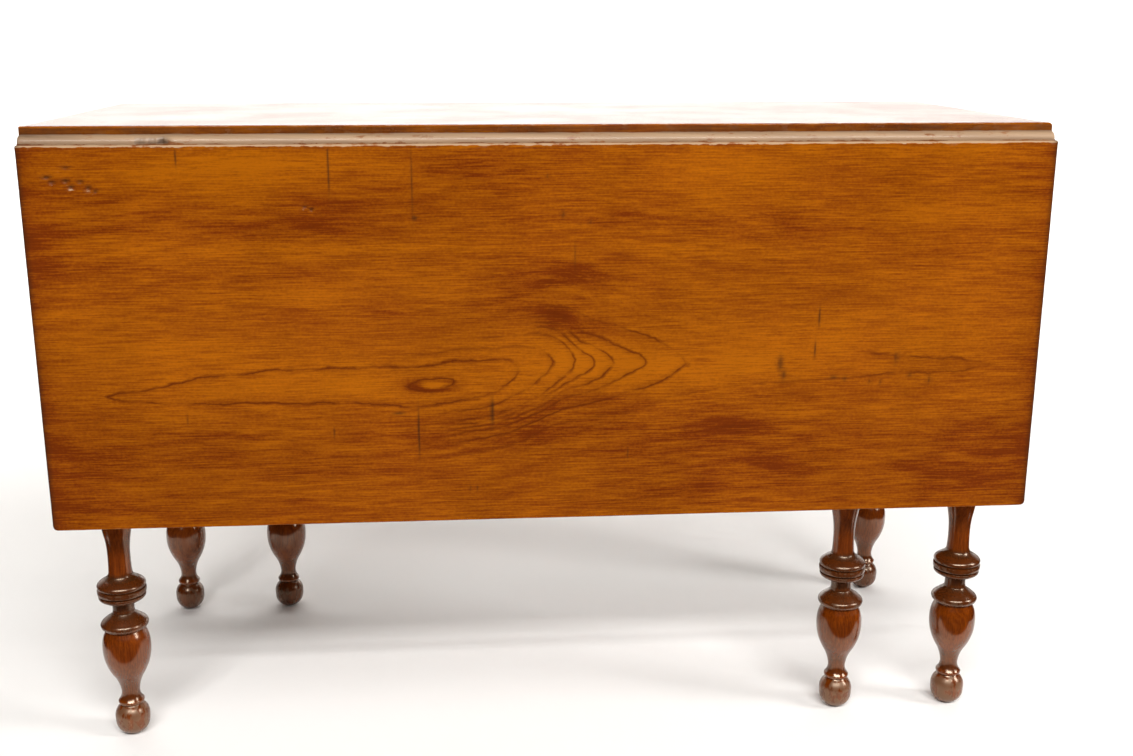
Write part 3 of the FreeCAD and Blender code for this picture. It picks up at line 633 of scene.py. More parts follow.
def line_strength(along, rings, rise):
    """How strongly a ring line shows: the strongest of the stretches that hold its place, side and ring."""
    strength = np.full(along.shape, faint_line)
    fade_start, fade_end = line_fade
    for place, half, side, first, last, shown in leaf_lines:
        inside = 1 - eased(np.abs(along - place), fade_start * half, fade_end * half)
        inside = inside * eased(rings, first - ring_fade, first + ring_fade)
        inside = inside * (1 - eased(rings, last - ring_fade, last + ring_fade))
        if side:
            inside = inside * eased(side * rise, *side_fade)
        strength = np.maximum(strength, shown * inside)
    return strength


def soft_marks(along, up, table):
    """Sum of strength * exp(-(dl / length)^2 - (du / height)^2) over the rows of a table of marks."""
    rows = np.array(table)[:, :, None, None]
    place, height, length, tall, strength = (rows[:, column] for column in range(5))
    return (strength * np.exp(-((along - place) / length) ** 2 - ((up - height) / tall) ** 2)).sum(axis=0)


# Outlines of the boards, as runs of (points, offset for each unit of an arris's radius, that arris's number)

def plain_run(points):
    """Stretch of an outline that no worn arris moves."""
    return points, np.zeros_like(points), np.full(len(points), -1)


def straight_run(start, end, shares):
    """Points at these shares of the way from start to end."""
    start, end = np.array(start), np.array(end)
    return plain_run(start + (end - start) * np.asarray(shares)[:, None])


def arc_run(centre, radius, angles):
    """Points centre + radius * (cos a, sin a)."""
    return plain_run(np.array(centre) + radius * np.stack([np.cos(angles), np.sin(angles)], axis=-1))


def worn_arris(corner, arriving, leaving, number):
    """Square corner worn round: corner + r * (leaving * (1 - cos a) - arriving * (1 - sin a))."""
    turn = arc_angles[:, None]
    offsets = np.array(leaving) * (1 - np.cos(turn)) - np.array(arriving) * (1 - np.sin(turn))
    return np.tile(np.array(corner, dtype=float), (len(turn), 1)), offsets, np.full(len(turn), number)


def join_runs(runs):
    """One outline, and the slice of it that each run takes up."""
    ends = np.cumsum([0] + [len(run[0]) for run in runs])
    spans = [slice(start, end) for start, end in zip(ends[:-1], ends[1:])]
    return [np.concatenate(column) for column in zip(*runs)], spans


def carried(along, outline, radii, end_radius):
    """Loops of an outline carried along a board, as an array (places, points round, 2).

    Each loop is points + radius of the arris at that place * offset, drawn in at the two ends by the
    fall-back of the worn end arris along the outline's inward normal. An arris is rounder there than it is
    drawn in.
    """
    points, offsets, arris = outline
    distance = np.minimum(along - along.min(), along.max() - along)
    drawn_in = fallback(distance, end_radius)[:, None]
    radii = np.maximum(radii, corner_share * drawn_in)
    padded = np.concatenate([radii, np.zeros((len(along), 1))], axis=1)
    loops = points + padded[:, arris][:, :, None] * offsets
    mean = points + radii.mean(axis=0).max() * offsets
    ahead = np.roll(mean, -1, axis=0) - np.roll(mean, 1, axis=0)
    ahead /= np.linalg.norm(ahead, axis=1)[:, None]
    inward = np.stack([ahead[:, 1], -ahead[:, 0]], axis=-1)
    return loops + drawn_in[:, :, None] * inward


def arris_marks(along, outline, wear):
    """How worn each point is: its arris's wear, less away from the arris's middle, times a wave along it."""
    points, offsets, arris = outline
    aside = np.abs(np.linalg.norm(offsets, axis=1) - (math.sqrt(2) - 1))
    middle = np.clip(1 - aside * arris_focus, 0, 1)
    strength = np.append(np.array(wear), 0.0)[arris] * np.where(arris >= 0, middle, 0.0)
    return strength[None, :] * waved(along, wear_wave)[:, None]


def arris_radii(along, radius, arrises):
    """Radius of each long arris at every place: the worn radius times a value that wanders along."""
    return radius * np.stack([waved(along, wave) for wave in arrises], axis=-1)


def end_places(*radii):
    """Places at both ends where rounded end arrises of these radii need points."""
    return [side * (half_length - radius * (1 - np.cos(arc_angles))) for side in (-1, 1) for radius in radii]


def clusters(table, place, half, step):
    """Places round each mark of a table, out to a few half lengths from it, on a grid of this step.

    place and half are the columns of the table that hold the mark's place and half length.
    """
    steps = [
        even_places(row[place] - mark_reach * row[half], row[place] + mark_reach * row[half],
                    max(step, row[half] / mark_rows))
        for row in table]
    return np.unique(np.round(np.concatenate(steps) / step)) * step


def spaced(loose, kept):
    """The kept places, and those loose ones, on a grid of scratch steps, that aren't close to a kept one."""
    loose = np.unique(np.round(np.concatenate(loose) / scratch_step)) * scratch_step
    kept = np.unique(np.concatenate(kept).round(6))
    far = np.abs(loose[:, None] - kept).min(axis=1) > close_share * scratch_step
    return np.sort(np.concatenate([kept, loose[far]]))


def recess_sides(plates):
    """Both sides of each hinge recess, along the board."""
    return np.array([(low.x - recess_gap, high.x + recess_gap) for low, high in plates])


def plate_edges(plates):
    """Two places for each side wall of the hinge recesses."""
    sides = recess_sides(plates).ravel()
    return np.concatenate([sides - recess_wall, sides + recess_wall])


def over_plates(along, plates):
    """True at the places along the board that lie in a hinge recess."""
    sides = recess_sides(plates)
    return ((along[:, None] > sides[:, 0]) & (along[:, None] < sides[:, 1])).any(axis=1)


def leaf_loops(settings, marked):
    """Places along the front leaf, its outline, the slices of the outline's runs, and the loops of points.

    The outline goes up the outer face, over the worn top arris, across to the hollow, down the hollow's
    quarter circle about the hinge axis and down the inner face. A marked leaf has points round its dents and
    scratches.
    """
    inner, outer = leaf_high.y, leaf_low.y
    bottom, top = leaf_low.z, leaf_high.z
    tip = hinge_y - math.sqrt(hollow_radius ** 2 - rule_gap ** 2)
    recess_bottom = leaf_plates[0][0].z - recess_gap

    margin = 2 * settings.arris_radius
    up, up_kept = [even_places(bottom, top, grain_step)], [[bottom + margin, top - margin]]
    along = [even_places(-half_length, half_length, grain_step)]
    along_kept = [plate_edges(leaf_plates)] + end_places(settings.end_radius, leaf_corner_radius)
    if marked:
        up += [even_places(*figured_heights, figure_step), clusters(leaf_scratches, 1, 3, scratch_step)]
        along += [even_places(*figured_stretch, figure_step), clusters(leaf_scratches, 0, 2, scratch_step)]
        up_kept += [clusters(leaf_dents, 1, 3, mark_step), [row[1] for row in leaf_scratches]]
        along_kept += [clusters(leaf_dents, 0, 2, mark_step), [row[0] for row in leaf_scratches]]
    along = spaced(along, along_kept)
    rows = spaced(up, up_kept)
    rows = rows[(rows > bottom + margin) & (rows < top - margin)]

    back_rows = np.unique(np.concatenate([
        even_places(bottom + margin, hinge_z - hollow_radius, hidden_step),
        [recess_bottom - recess_wall, recess_bottom + recess_wall]]))[::-1]
    hollow_angles = np.linspace(math.asin(rule_gap / hollow_radius), math.pi / 2, hollow_rows)[1:]
    runs = [
        worn_arris((outer, bottom), (-1, 0), (0, 1), 0),
        plain_run(np.stack([np.full_like(rows, outer), rows], axis=-1)),
        worn_arris((outer, top), (0, 1), (1, 0), 1),
        worn_arris((tip, top), (1, 0), (0, -1), 2),
        arc_run((hinge_y, hinge_z), hollow_radius, math.pi + hollow_angles),
        plain_run(np.stack([np.full_like(back_rows, inner), back_rows], axis=-1)),
        worn_arris((inner, bottom), (0, -1), (-1, 0), 3),
    ]
    outline, spans = join_runs(runs)
    radii = np.insert(arris_radii(along, settings.arris_radius, leaf_arrises), 2, hollow_tip_radius, axis=1)
    loops = carried(along, outline, radii, settings.end_radius)

    side, height = loops[..., 0], loops[..., 1]
    back = spans[5]
    recessed = over_plates(along, leaf_plates)[:, None] & (outline[0][back, 1] > recess_bottom)
    side[:, back] -= np.where(recessed, plate_thickness + recess_gap, 0)
    raised = fallback(half_length - np.abs(along), leaf_corner_radius)[:, None]
    height[:] = top - (top - height) * (top - bottom - raised) / (top - bottom)
    return along, outline, spans, loops


def make_leaf(name, half_turned, settings, material):
    """A hanging leaf: the marked and figured front one, or the plainer rear one, which is turned by half.

    Its outer face falls back by the hollows of hand planing and by the dents.
    """
    along, outline, spans, loops = leaf_loops(settings, not half_turned)
    side, height = loops[..., 0], loops[..., 1]
    places = np.broadcast_to(along[:, None], side.shape)
    face, tip = spans[1], spans[3]
    side[:, face] += settings.relief * planing(places[:, face], height[:, face], leaf_planing)
    from_end = half_length - np.abs(places)
    # Painted shade: the ends of the leaf are darkened through its tone
    shade, reach = end_shade
    tone = shade * np.exp(-from_end / reach)
    # Painted shade: the worn end arrises are darkened, partly as dirt, partly as the shade they turn into
    darkness, grime_and_shade_reach = end_grime_and_shade
    stain = darkness * np.exp(-(from_end / grime_and_shade_reach) ** 2)
    wear = arris_marks(along, outline, leaf_arris_wear)
    wear[:, tip] = np.maximum(wear[:, tip], tip_wear)
    depth = np.maximum(side - leaf_low.y, 0)
    heart, ring, rise = growth_rings(places, height, depth, rear_tree if half_turned else leaf_tree)
    figure = plain_line
    if not half_turned:
        figure = line_strength(places, ring, rise)
        place, up = places[:, face], height[:, face]
        dents = soft_marks(place, up, leaf_dents)
        deepest = max(row[-1] for row in leaf_dents)
        lip, lip_wear_and_highlight = dent_lip_wear_and_highlight
        side[:, face] += dents
        tone[:, face] += soft_marks(place, up, leaf_zones)
        stain[:, face] += soft_marks(place, up, leaf_scratches) + dent_stain * dents / deepest
        # The lip under each dent is painted pale: partly bruised finish, partly a painted highlight facing the
        # light
        lit_bruised_lip = soft_marks(place, up + lip, leaf_dents) / deepest - dents / deepest
        wear[:, face] = lip_wear_and_highlight * np.clip(lit_bruised_lip, 0, 1)
    span = ring_span(ring, along, loops)
    turn = -1 if half_turned else 1
    points = np.stack([turn * places, turn * side, height], axis=-1)
    marks = {"heart": heart, "ring": ring, "span": span, "figure": figure, "tone": tone,
             "stain": np.clip(stain, 0, 1), "wear": wear, "end_grain": 0.0}
    return tube_piece(name, points, marks, material, end_marks=end_grain)


def make_top(settings, material):
    """The fixed top: step and quarter-round moulding on both long edges, with hinge recesses underneath.

    The quarter round is hinge axis + R * (cos a, sin a). Under the top the points rise by the depth of the
    plate, or by d + sqrt(r^2 - (y - h)^2) in the groove for the barrel. The broken stretch of the front
    moulding is cut in along its radius.
    """
    edge = top_low.y
    bottom, top = top_low.z, top_high.z
    chip_start, chip_end = chip_span
    before, behind = chip_margins
    corner_radius, corner_gone = top_corner
    walls = plate_edges(top_plates)
    along = [even_places(-half_length, half_length, grain_step), walls, -walls]
    along += end_places(top_end_radius, corner_radius)
    along += [even_places(chip_start - before, chip_end + behind, mark_step)]
    along = np.unique(np.concatenate(along).round(6))
    margin = max(2 * settings.arris_radius, top_end_room * top_end_radius)
    across = even_places(hinge_y + margin, -hinge_y - margin, grain_step)
    recess_edge = top_plates[0][1].y + recess_gap
    near_edge = np.concatenate([
        hinge_y + barrel_room * np.linspace(-1, 1, groove_rows),
        [hinge_y - barrel_room - recess_wall, hinge_y + barrel_room + recess_wall,
         recess_edge - recess_wall, recess_edge + recess_wall]])
    under = np.unique(np.concatenate([
        near_edge, -near_edge, even_places(recess_edge, -recess_edge, hidden_step)]))
    down_shares = 1 - np.array(step_shares)[::-1]
    runs = [
        straight_run((edge, bottom), (edge, hinge_z), (0.0, 0.5)),
        arc_run((hinge_y, hinge_z), moulding_radius, math.pi - quarter),
        straight_run((hinge_y, moulding_top), (hinge_y, top), step_shares),
        worn_arris((hinge_y, top), (0, 1), (1, 0), 0),
        plain_run(np.stack([across, np.full_like(across, top)], axis=-1)),
        worn_arris((-hinge_y, top), (1, 0), (0, -1), 1),
        straight_run((-hinge_y, top), (-hinge_y, moulding_top), down_shares),
        arc_run((-hinge_y, hinge_z), moulding_radius, quarter[::-1]),
        straight_run((-edge, hinge_z), (-edge, bottom), (0.5, 1.0)),
        plain_run(np.stack([under[::-1], np.full_like(under, bottom)], axis=-1)),
    ]
    outline, spans = join_runs(runs)
    moulding, step, face, rear_step, rear_moulding = (spans[run] for run in (1, 2, 4, 6, 7))
    radii = arris_radii(along, settings.arris_radius, top_arrises)
    loops = carried(along, outline, radii, top_end_radius)
    side, height = loops[..., 0], loops[..., 1]
    places = np.broadcast_to(along[:, None], side.shape)
    height[:, face] -= settings.relief * planing(places[:, face], side[:, face], top_planing)
    above = np.clip((height - moulding_top) / (top - moulding_top), 0, 1)
    height -= corner_gone * fallback(half_length - along, corner_radius)[:, None] * above

    plate_depth = plate_thickness + recess_gap
    for turn in (1, -1):
        y = turn * outline[0][:, 0]
        inside = over_plates(turn * along, top_plates)[:, None] & (y < recess_edge)
        from_axis = np.clip(np.abs(y - hinge_y), 0, barrel_room)
        groove_depth = hinge_z - bottom + np.sqrt(barrel_room ** 2 - from_axis ** 2)
        depth = np.where(np.abs(y - hinge_y) < barrel_room, groove_depth, plate_depth)
        height[:] = np.where(inside, np.maximum(height, bottom + depth), height)

    hole_place, hole_length = chip_hole
    rise_start, rise_length = chip_rise
    least, more = chip_ragged
    ragged = 0.5 + 0.5 * wander(along, *chip_wave)[:, None]
    in_chip = np.clip(np.minimum(along - chip_start, chip_end - along) / chip_slope, 0, 1)[:, None]
    low_half = np.clip(rise_start - quarter / rise_length, 0, 1)
    hole = np.exp(-((along - hole_place) / hole_length) ** 2)[:, None] * low_half
    broken = in_chip * (least + more * ragged) * np.clip(low_half * chip_fullness, 0, 1)
    cut = chip_depth * broken + hole_share * chip_depth * hole
    side[:, moulding] += cut * np.cos(quarter)
    height[:, moulding] -= cut * np.sin(quarter)

    dark_end = np.exp(-((along + half_length) / dark_end_length) ** 2)[:, None]
    layers = {
        "all_over": 1.0,
        "streaks": wander(along[:, None] + streak_slant * quarter, *streak_wave),
        # painted shade in the crease under the step
        "under_step": np.clip(2 * quarter / math.pi, 0, 1) ** 2,
        "by_gap": np.clip(1 - quarter / gap_angle, 0, 1),
        "dark_end": dark_end,
        "hole": hole,
        "broken": broken,
    }
    stain = np.zeros(side.shape)
    stain[:, moulding] = np.clip(sum(moulding_stains_and_shade[name] * layer for name, layer in layers.items()), 0, 1)
    wear = arris_marks(along, outline, top_arris_wear)
    # Painted sheen and wear: the whole moulding is painted pale
    for run in (moulding, rear_moulding):
        wear[:, run] = waved(along, moulding_wear_and_sheen)[:, None]
    for run in (step, rear_step):
        stain[:, run] = waved(along, step_stain)[:, None] + step_end_stain * dark_end
        wear[:, run] = step_wear
    heart, ring, rise = growth_rings(places, side, np.maximum(top - height, 0), top_tree)
    points = np.stack([places, side, height], axis=-1)
    marks = {"heart": heart, "ring": ring, "span": ring_span(ring, along, loops), "figure": plain_line,
             "tone": 0.0, "stain": stain, "wear": wear, "end_grain": 0.0}
    return tube_piece("top_surface_board", points, marks, material, end_marks=end_grain)


# Legs and rails

def leg_outline():
    """Radius and height up the turned part of a leg.

    Between two points of a member's table the outline is a + (b - a) t + 4 bow t (1 - t) n, a bow of that
    share of the stretch along its outward normal n. A mean over neighbours then eases the arrises as wear
    does.
    """
    lower = sum(member[0] for member in lower_members)
    column_height = block_bottom - capital_height - lower
    members = lower_members + (
        (column_height, column_radius, column_shares), (capital_height, capital_radius, capital_shares))
    bases = np.cumsum([0.0] + [member[0] for member in members])
    rows = np.concatenate([
        np.array(shares) * (height, radius, 1.0) + (base, 0.0, 0.0)
        for base, (height, radius, shares) in zip(bases, members)])
    ends = np.stack([rows[:, 1], rows[:, 0]], axis=-1)
    start, chord = ends[:-1], np.diff(ends, axis=0)
    normal = np.stack([chord[:, 1], -chord[:, 0]], axis=-1)
    t = stretch_shares[None, :, None]
    bow = rows[1:, 2][:, None, None]
    curve = start[:, None] + chord[:, None] * t + 4 * bow * t * (1 - t) * normal[:, None]
    line = np.concatenate([curve.reshape(-1, 2), ends[-1:]])
    below, own, over = arris_easing
    worn = line.copy()
    worn[1:-1] = below * line[:-2] + own * line[1:-1] + over * line[2:]
    return worn


def turning_marks(line):
    """Wear on the ridges and dirt in the grooves of an outline, from the sine of its turn at each point."""
    step = np.diff(line, axis=0)
    step /= np.maximum(np.linalg.norm(step, axis=1), 1e-9)[:, None]
    turn = np.zeros(len(line))
    turn[1:-1] = step[1:, 0] * step[:-1, 1] - step[:-1, 0] * step[1:, 1]
    spread = turn_strength * np.convolve(turn, turn_spread, mode="same")
    return np.clip(-spread, 0, 1), np.clip(spread, 0, 1)


def make_leg(node, body, settings, material, seed):
    """Turned leg: R(a, z) is the outline's radius, made slightly oval, below the block.

    In the block it is the smaller of the shoulder's cone and a square, h / (|cos a|^p + |sin a|^p)^(1/p).
    """
    low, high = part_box(node)
    middle = (low + high) / 2
    half_block = (high.x - low.x) / 2
    line = leg_outline()
    line_height = line[:, 1]
    corners = math.pi / 4 + np.arange(4) * math.pi / 2
    angles = np.linspace(0, 2 * math.pi, leg_sides, endpoint=False)
    beside = [corners - block_corner_angle, corners + block_corner_angle]
    angles = np.unique(np.concatenate([angles] + beside).round(6))
    turned = line[:, :1] * (1 + settings.ovality * np.cos(2 * angles + seed))

    rise = np.concatenate([
        np.linspace(0, shoulder_rise, shoulder_rows),
        np.linspace(shoulder_rise, high.z - block_bottom, block_rows)[1:]])
    cone = half_block * (1 + np.clip(rise / shoulder_rise, 0, 1))
    power = block_corner_power
    square = half_block / (np.abs(np.cos(angles)) ** power + np.abs(np.sin(angles)) ** power) ** (1 / power)
    block = np.minimum(cone[:, None], square)
    radius = np.concatenate([turned, block])
    height = np.concatenate([line_height, block_bottom + rise])[:, None]
    points = np.stack([
        middle.x + radius * np.cos(angles), middle.y + radius * np.sin(angles),
        np.broadcast_to(height, radius.shape)], axis=-1)

    ridge, groove = turning_marks(line)
    sharpness, ridge_rub = ridge_wear
    arris_start, arris_reach = block_arris
    arris = np.clip((square / half_block - arris_start) / arris_reach, 0, 1)
    scuffed = foot_scuffs.get(node, foot_scuff)
    low_dirt, high_dirt, darkness = leg_dirt
    start_fade, end_fade = dirt_fades
    in_foot = 1 - eased(line_height, foot_top * foot_height, foot_height)
    in_ring = eased(line_height, low_dirt, low_dirt + start_fade)
    in_ring = in_ring * (1 - eased(line_height, high_dirt, high_dirt + end_fade))
    rubbed = ridge_rub * np.clip(ridge - sharpness, 0, 1) + scuffed * in_foot
    # Painted shade on the unworn rear feet, besides the grime in the grooves and on the ring
    grime_and_shade = groove + darkness * in_ring + unworn_foot_shade * (1 - scuffed / foot_scuff) * in_foot
    wear = np.zeros(radius.shape)
    wear[:len(line)] = rubbed[:, None]
    wear[len(line):] = block_wear * arris
    stain = np.zeros(radius.shape)
    stain[:len(line)] = np.clip(grime_and_shade, 0, 1)[:, None]
    heart = np.array((leg_heart * math.cos(seed), leg_heart * math.sin(seed)))
    sway = leg_sway * wander(np.broadcast_to(height, radius.shape), seed, leg_wave_lengths)
    offset = points[..., :2] - np.array((middle.x, middle.y)) - heart
    ring = (np.linalg.norm(offset, axis=-1) + sway) / leg_ring_width
    marks = {"ring": ring, "span": leg_ring_width, "figure": plain_line, "stain": stain, "wear": wear}
    piece = tube_piece(node + "_turning", points, marks, material)
    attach(piece, body)
    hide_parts(node)
    return piece


def make_rail(node, settings, material):
    """Straight rail of its CAD node's size: a rectangle with eased arrises, carried along it."""
    low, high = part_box(node)
    sizes = high - low
    lengthwise = 0 if sizes.x > sizes.y else 1
    thick = 1 - lengthwise
    along = even_places(low[lengthwise], high[lengthwise], rail_step)
    a, b = low[thick], high[thick]
    bottom, top = low.z, high.z
    runs = [
        worn_arris((a, bottom), (-1, 0), (0, 1), 0),
        straight_run((a, bottom), (a, top), rail_shares),
        worn_arris((a, top), (0, 1), (1, 0), 0),
        worn_arris((b, top), (1, 0), (0, -1), 0),
        straight_run((b, top), (b, bottom), rail_shares),
        worn_arris((b, bottom), (0, -1), (-1, 0), 0),
    ]
    outline = join_runs(runs)[0]
    radii = arris_radii(along, settings.arris_radius, rail_arrises)
    loops = carried(along, outline, radii, settings.arris_radius)
    through, height = loops[..., 0], loops[..., 1]
    places = np.broadcast_to(along[:, None], height.shape)
    axes = [places, through] if lengthwise == 0 else [through, places]
    points = np.stack(axes + [height], axis=-1)
    sway = rail_sway * wander(places, *rail_wave)
    ring = (height + rail_ring_slope * (through - a) + sway) / rail_ring_width
    wear = arris_marks(along, outline, rail_arris_wear)
    marks = {"ring": ring, "span": rail_ring_width, "figure": plain_line, "wear": wear}
    piece = tube_piece(node + "_board", points, marks, material)
    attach(piece, "frame")
    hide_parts(node)
    return piece


# Shader nodes

def put_node(tree, kind, settings=None, inputs=None):
    """New node with its settings and inputs; an input is a number, a colour or the socket that feeds it."""
    node = tree.nodes.new(kind)
    for name, value in (settings or {}).items():
        setattr(node, name, value)
    for key, value in (inputs or {}).items():
        if isinstance(value, bpy.types.NodeSocket):
            tree.links.new(value, node.inputs[key])
        else:
            node.inputs[key].default_value = value
    return node


def arithmetic(tree, operation, first, second=0.0, clamp=False):
    """Result of a Math node."""
    settings = {"operation": operation, "use_clamp": clamp}
    return put_node(tree, "ShaderNodeMath", settings, {0: first, 1: second}).outputs[0]


def weighted(tree, values, weights):
    """Sum of sockets, each times its weight."""
    total = 0.0
    for value, weight in zip(values, weights):
        inputs = {0: value, 1: weight, 2: total}
        total = put_node(tree, "ShaderNodeMath", {"operation": "MULTIPLY_ADD"}, inputs).outputs[0]
    return total


def remapped(tree, value, low, high, to_low=0.0, to_high=1.0):
    """Smooth step of a value from one stretch to another."""
    inputs = {0: value, 1: low, 2: high, 3: to_low, 4: to_high}
    return put_node(tree, "ShaderNodeMapRange", {"interpolation_type": "SMOOTHSTEP"}, inputs).outputs[0]


def blended(tree, share, first, second):
    """Mix of two colours, which are sockets 6 and 7 of a Mix node."""
    return put_node(tree, "ShaderNodeMix", {"data_type": "RGBA"}, {0: share, 6: first, 7: second}).outputs[2]


def stretched_noise(tree, vector, name):
    """Noise of this name: its cells are as many to the metre along and across the grain as its row says."""
    along, across, detail, roughness = noises[name]
    inputs = {0: vector, 1: (along, across, across)}
    scaled = put_node(tree, "ShaderNodeVectorMath", {"operation": "MULTIPLY"}, inputs).outputs[0]
    inputs = {"Vector": scaled, "Scale": 1.0, "Detail": detail, "Roughness": roughness}
    return put_node(tree, "ShaderNodeTexNoise", None, inputs).outputs[0]


def attribute(tree, name):
    """Value that a piece's points carry under this name."""
    return put_node(tree, "ShaderNodeAttribute", {"attribute_name": name}).outputs["Fac"]


def new_group(name, inputs, outputs):
    """Shader node group with named sockets, and its input and output nodes."""
    group = bpy.data.node_groups.new(name, "ShaderNodeTree")
    for label, kind in inputs:
        group.interface.new_socket(label, in_out="INPUT", socket_type="NodeSocket" + kind)
    for label, kind in outputs:
        group.interface.new_socket(label, in_out="OUTPUT", socket_type="NodeSocket" + kind)
    return group, group.nodes.new("NodeGroupInput").outputs, group.nodes.new("NodeGroupOutput").inputs


def grain_group():
    """Mottling, fibres, pores and ring lines of wood whose grain runs along the vector's first axis.

    The mottling follows the bent vector. A ring line lies where the ring number, moved a few millimetres to
    and fro, is whole; the span turns the distance from it into metres, so that every line is equally thin.
    """
    group, given, result = new_group(
        "wood_grain",
        (("Vector", "Vector"), ("Bent", "Vector"), ("Ring", "Float"), ("Span", "Float"), ("Figure", "Float"),
         ("Tone", "Float"), ("Light", "Color"), ("Dark", "Color"), ("Line", "Color")),
        (("Color", "Color"), ("Height", "Float")))
    vector, bent = given["Vector"], given["Bent"]
    broad, mottle = (stretched_noise(group, bent, name) for name in ("broad", "mottle"))
    fibre, weave = (stretched_noise(group, vector, name) for name in ("fibre", "weave"))
    streaks = weighted(group, (broad, mottle, fibre, weave), streak_weights)
    zone = arithmetic(group, "MULTIPLY", given["Tone"], remapped(group, mottle, *zone_range))
    tone = arithmetic(group, "ADD", remapped(group, streaks, *streak_range), zone)
    colour = blended(group, tone, given["Light"], given["Dark"])
    deep_start, deep_slope = deep_wood
    deep = arithmetic(group, "MULTIPLY", arithmetic(group, "SUBTRACT", tone, deep_start), deep_slope, True)
    colour = blended(group, deep, colour, deep_colour)

    shaken = [stretched_noise(group, vector, name) for name in ("sway", "shake")]
    moves = [arithmetic(group, "SUBTRACT", noise, 0.5) for noise in shaken]
    shift = arithmetic(group, "DIVIDE", weighted(group, moves, line_shifts), given["Span"])
    moved = arithmetic(group, "ADD", given["Ring"], shift)
    part = arithmetic(group, "FRACT", arithmetic(group, "ADD", moved, 0.5))
    distance = arithmetic(group, "MULTIPLY", arithmetic(group, "SUBTRACT", part, 0.5), given["Span"])
    line = remapped(group, arithmetic(group, "ABSOLUTE", distance), *line_edges, 1.0, 0.0)
    on_side = arithmetic(group, "LESS_THAN", distance, 0.0)
    before = arithmetic(group, "MULTIPLY", remapped(group, distance, -late_wood, 0.0), on_side)
    broken = remapped(group, stretched_noise(group, vector, "breaks"), *break_range)
    late = arithmetic(group, "MULTIPLY", weighted(group, (line, before), line_weights), broken)
    late = arithmetic(group, "MULTIPLY", late, given["Figure"], True)
    colour = blended(group, late, colour, given["Line"])

    pores = remapped(group, stretched_noise(group, vector, "pores"), *pore_range)
    colour = blended(group, arithmetic(group, "MULTIPLY", pores, pore_strength), colour, given["Line"])
    group.links.new(colour, result["Color"])
    group.links.new(weighted(group, (pores, fibre, late), grain_heights), result["Height"])
    return group


def patina_group():
    """Old varnish over a wood colour: pale patches of wear and painted sheen, dark stains and painted shade, and
    shine changed by handling.
    """
    group, given, result = new_group(
        "old_varnish",
        (("Vector", "Vector"), ("Color", "Color"), ("Worn", "Color"), ("Wear", "Float"), ("Stain", "Float"),
         ("Shine", "Float")),
        (("Color", "Color"), ("Roughness", "Float")))
    cloud, patch = (stretched_noise(group, given["Vector"], name) for name in ("cloud", "patch"))
    shade = put_node(group, "ShaderNodeHueSaturation", None, {
        "Value": remapped(group, cloud, *shade_range), "Color": given["Color"]}).outputs[0]
    # Pale patches: worn varnish, and painted sheen on the moulding and painted highlight on the dent lips
    worn = arithmetic(group, "ADD", remapped(group, patch, *patch_range), given["Wear"])
    bare = remapped(group, arithmetic(group, "SUBTRACT", worn, 1.0), *bare_range)
    handled = arithmetic(group, "MULTIPLY", given["Wear"], wear_onset, True)
    bare = arithmetic(group, "MULTIPLY", bare, handled)
    colour = blended(group, bare, shade, given["Worn"])
    # The dark cover is dirt and stains, and painted shade on the end arrises, under the step and on the rear feet
    dirt = arithmetic(group, "MULTIPLY", given["Stain"], remapped(group, patch, *dirt_and_shade_range), True)
    colour = blended(group, dirt, colour, blended(group, dirt_and_shade_cover, colour, dirt_and_shade_colour))
    group.links.new(colour, result["Color"])
    rough = weighted(group, (bare, dirt, remapped(group, cloud, *dull_range)), roughness_weights)
    group.links.new(arithmetic(group, "ADD", rough, given["Shine"], True), result["Roughness"])
    return group


def placed_group(tree, name, build, inputs):
    """Outputs of the node group of this name in a material; it is built the first time it is asked for."""
    group = bpy.data.node_groups.get(name) or build()
    return put_node(tree, "ShaderNodeGroup", {"node_tree": group}, inputs).outputs


def grain_vectors(tree, grain_axis, bent):
    """Object coordinates with the grain axis first, plain and, if bent, with the distance from the heart.

    A bent piece's end grain keeps the plain coordinates; sockets 4 and 5 of a Mix node are its vectors.
    """
    place = put_node(tree, "ShaderNodeTexCoord").outputs["Object"]
    parts = put_node(tree, "ShaderNodeSeparateXYZ", None, {0: place}).outputs
    others = [axis for axis in range(3) if axis != grain_axis]
    first, second, third = (parts[axis] for axis in [grain_axis] + others)
    straight = put_node(tree, "ShaderNodeCombineXYZ", None, {0: first, 1: second, 2: third}).outputs[0]
    if not bent:
        return straight, straight
    aside = weighted(tree, (second, third), (heart_aside, heart_aside))
    inputs = {0: first, 1: attribute(tree, "heart"), 2: aside}
    curved = put_node(tree, "ShaderNodeCombineXYZ", None, inputs).outputs[0]
    inputs = {0: attribute(tree, "end_grain"), 4: curved, 5: straight}
    return straight, put_node(tree, "ShaderNodeMix", {"data_type": "VECTOR"}, inputs).outputs[1]


def new_material(name):
    """Material with nodes, its node tree and its shader."""
    material = bpy.data.materials.new(name)
    material.use_nodes = True
    return material, material.node_tree, material.node_tree.nodes["Principled BSDF"]


def bumped(tree, shader, strength, height):
    """Lets a height raise and lower the shader's surface."""
    inputs = {"Strength": strength, "Distance": bump_depth, "Height": height}
    tree.links.new(put_node(tree, "ShaderNodeBump", None, inputs).outputs[0], shader.inputs["Normal"])


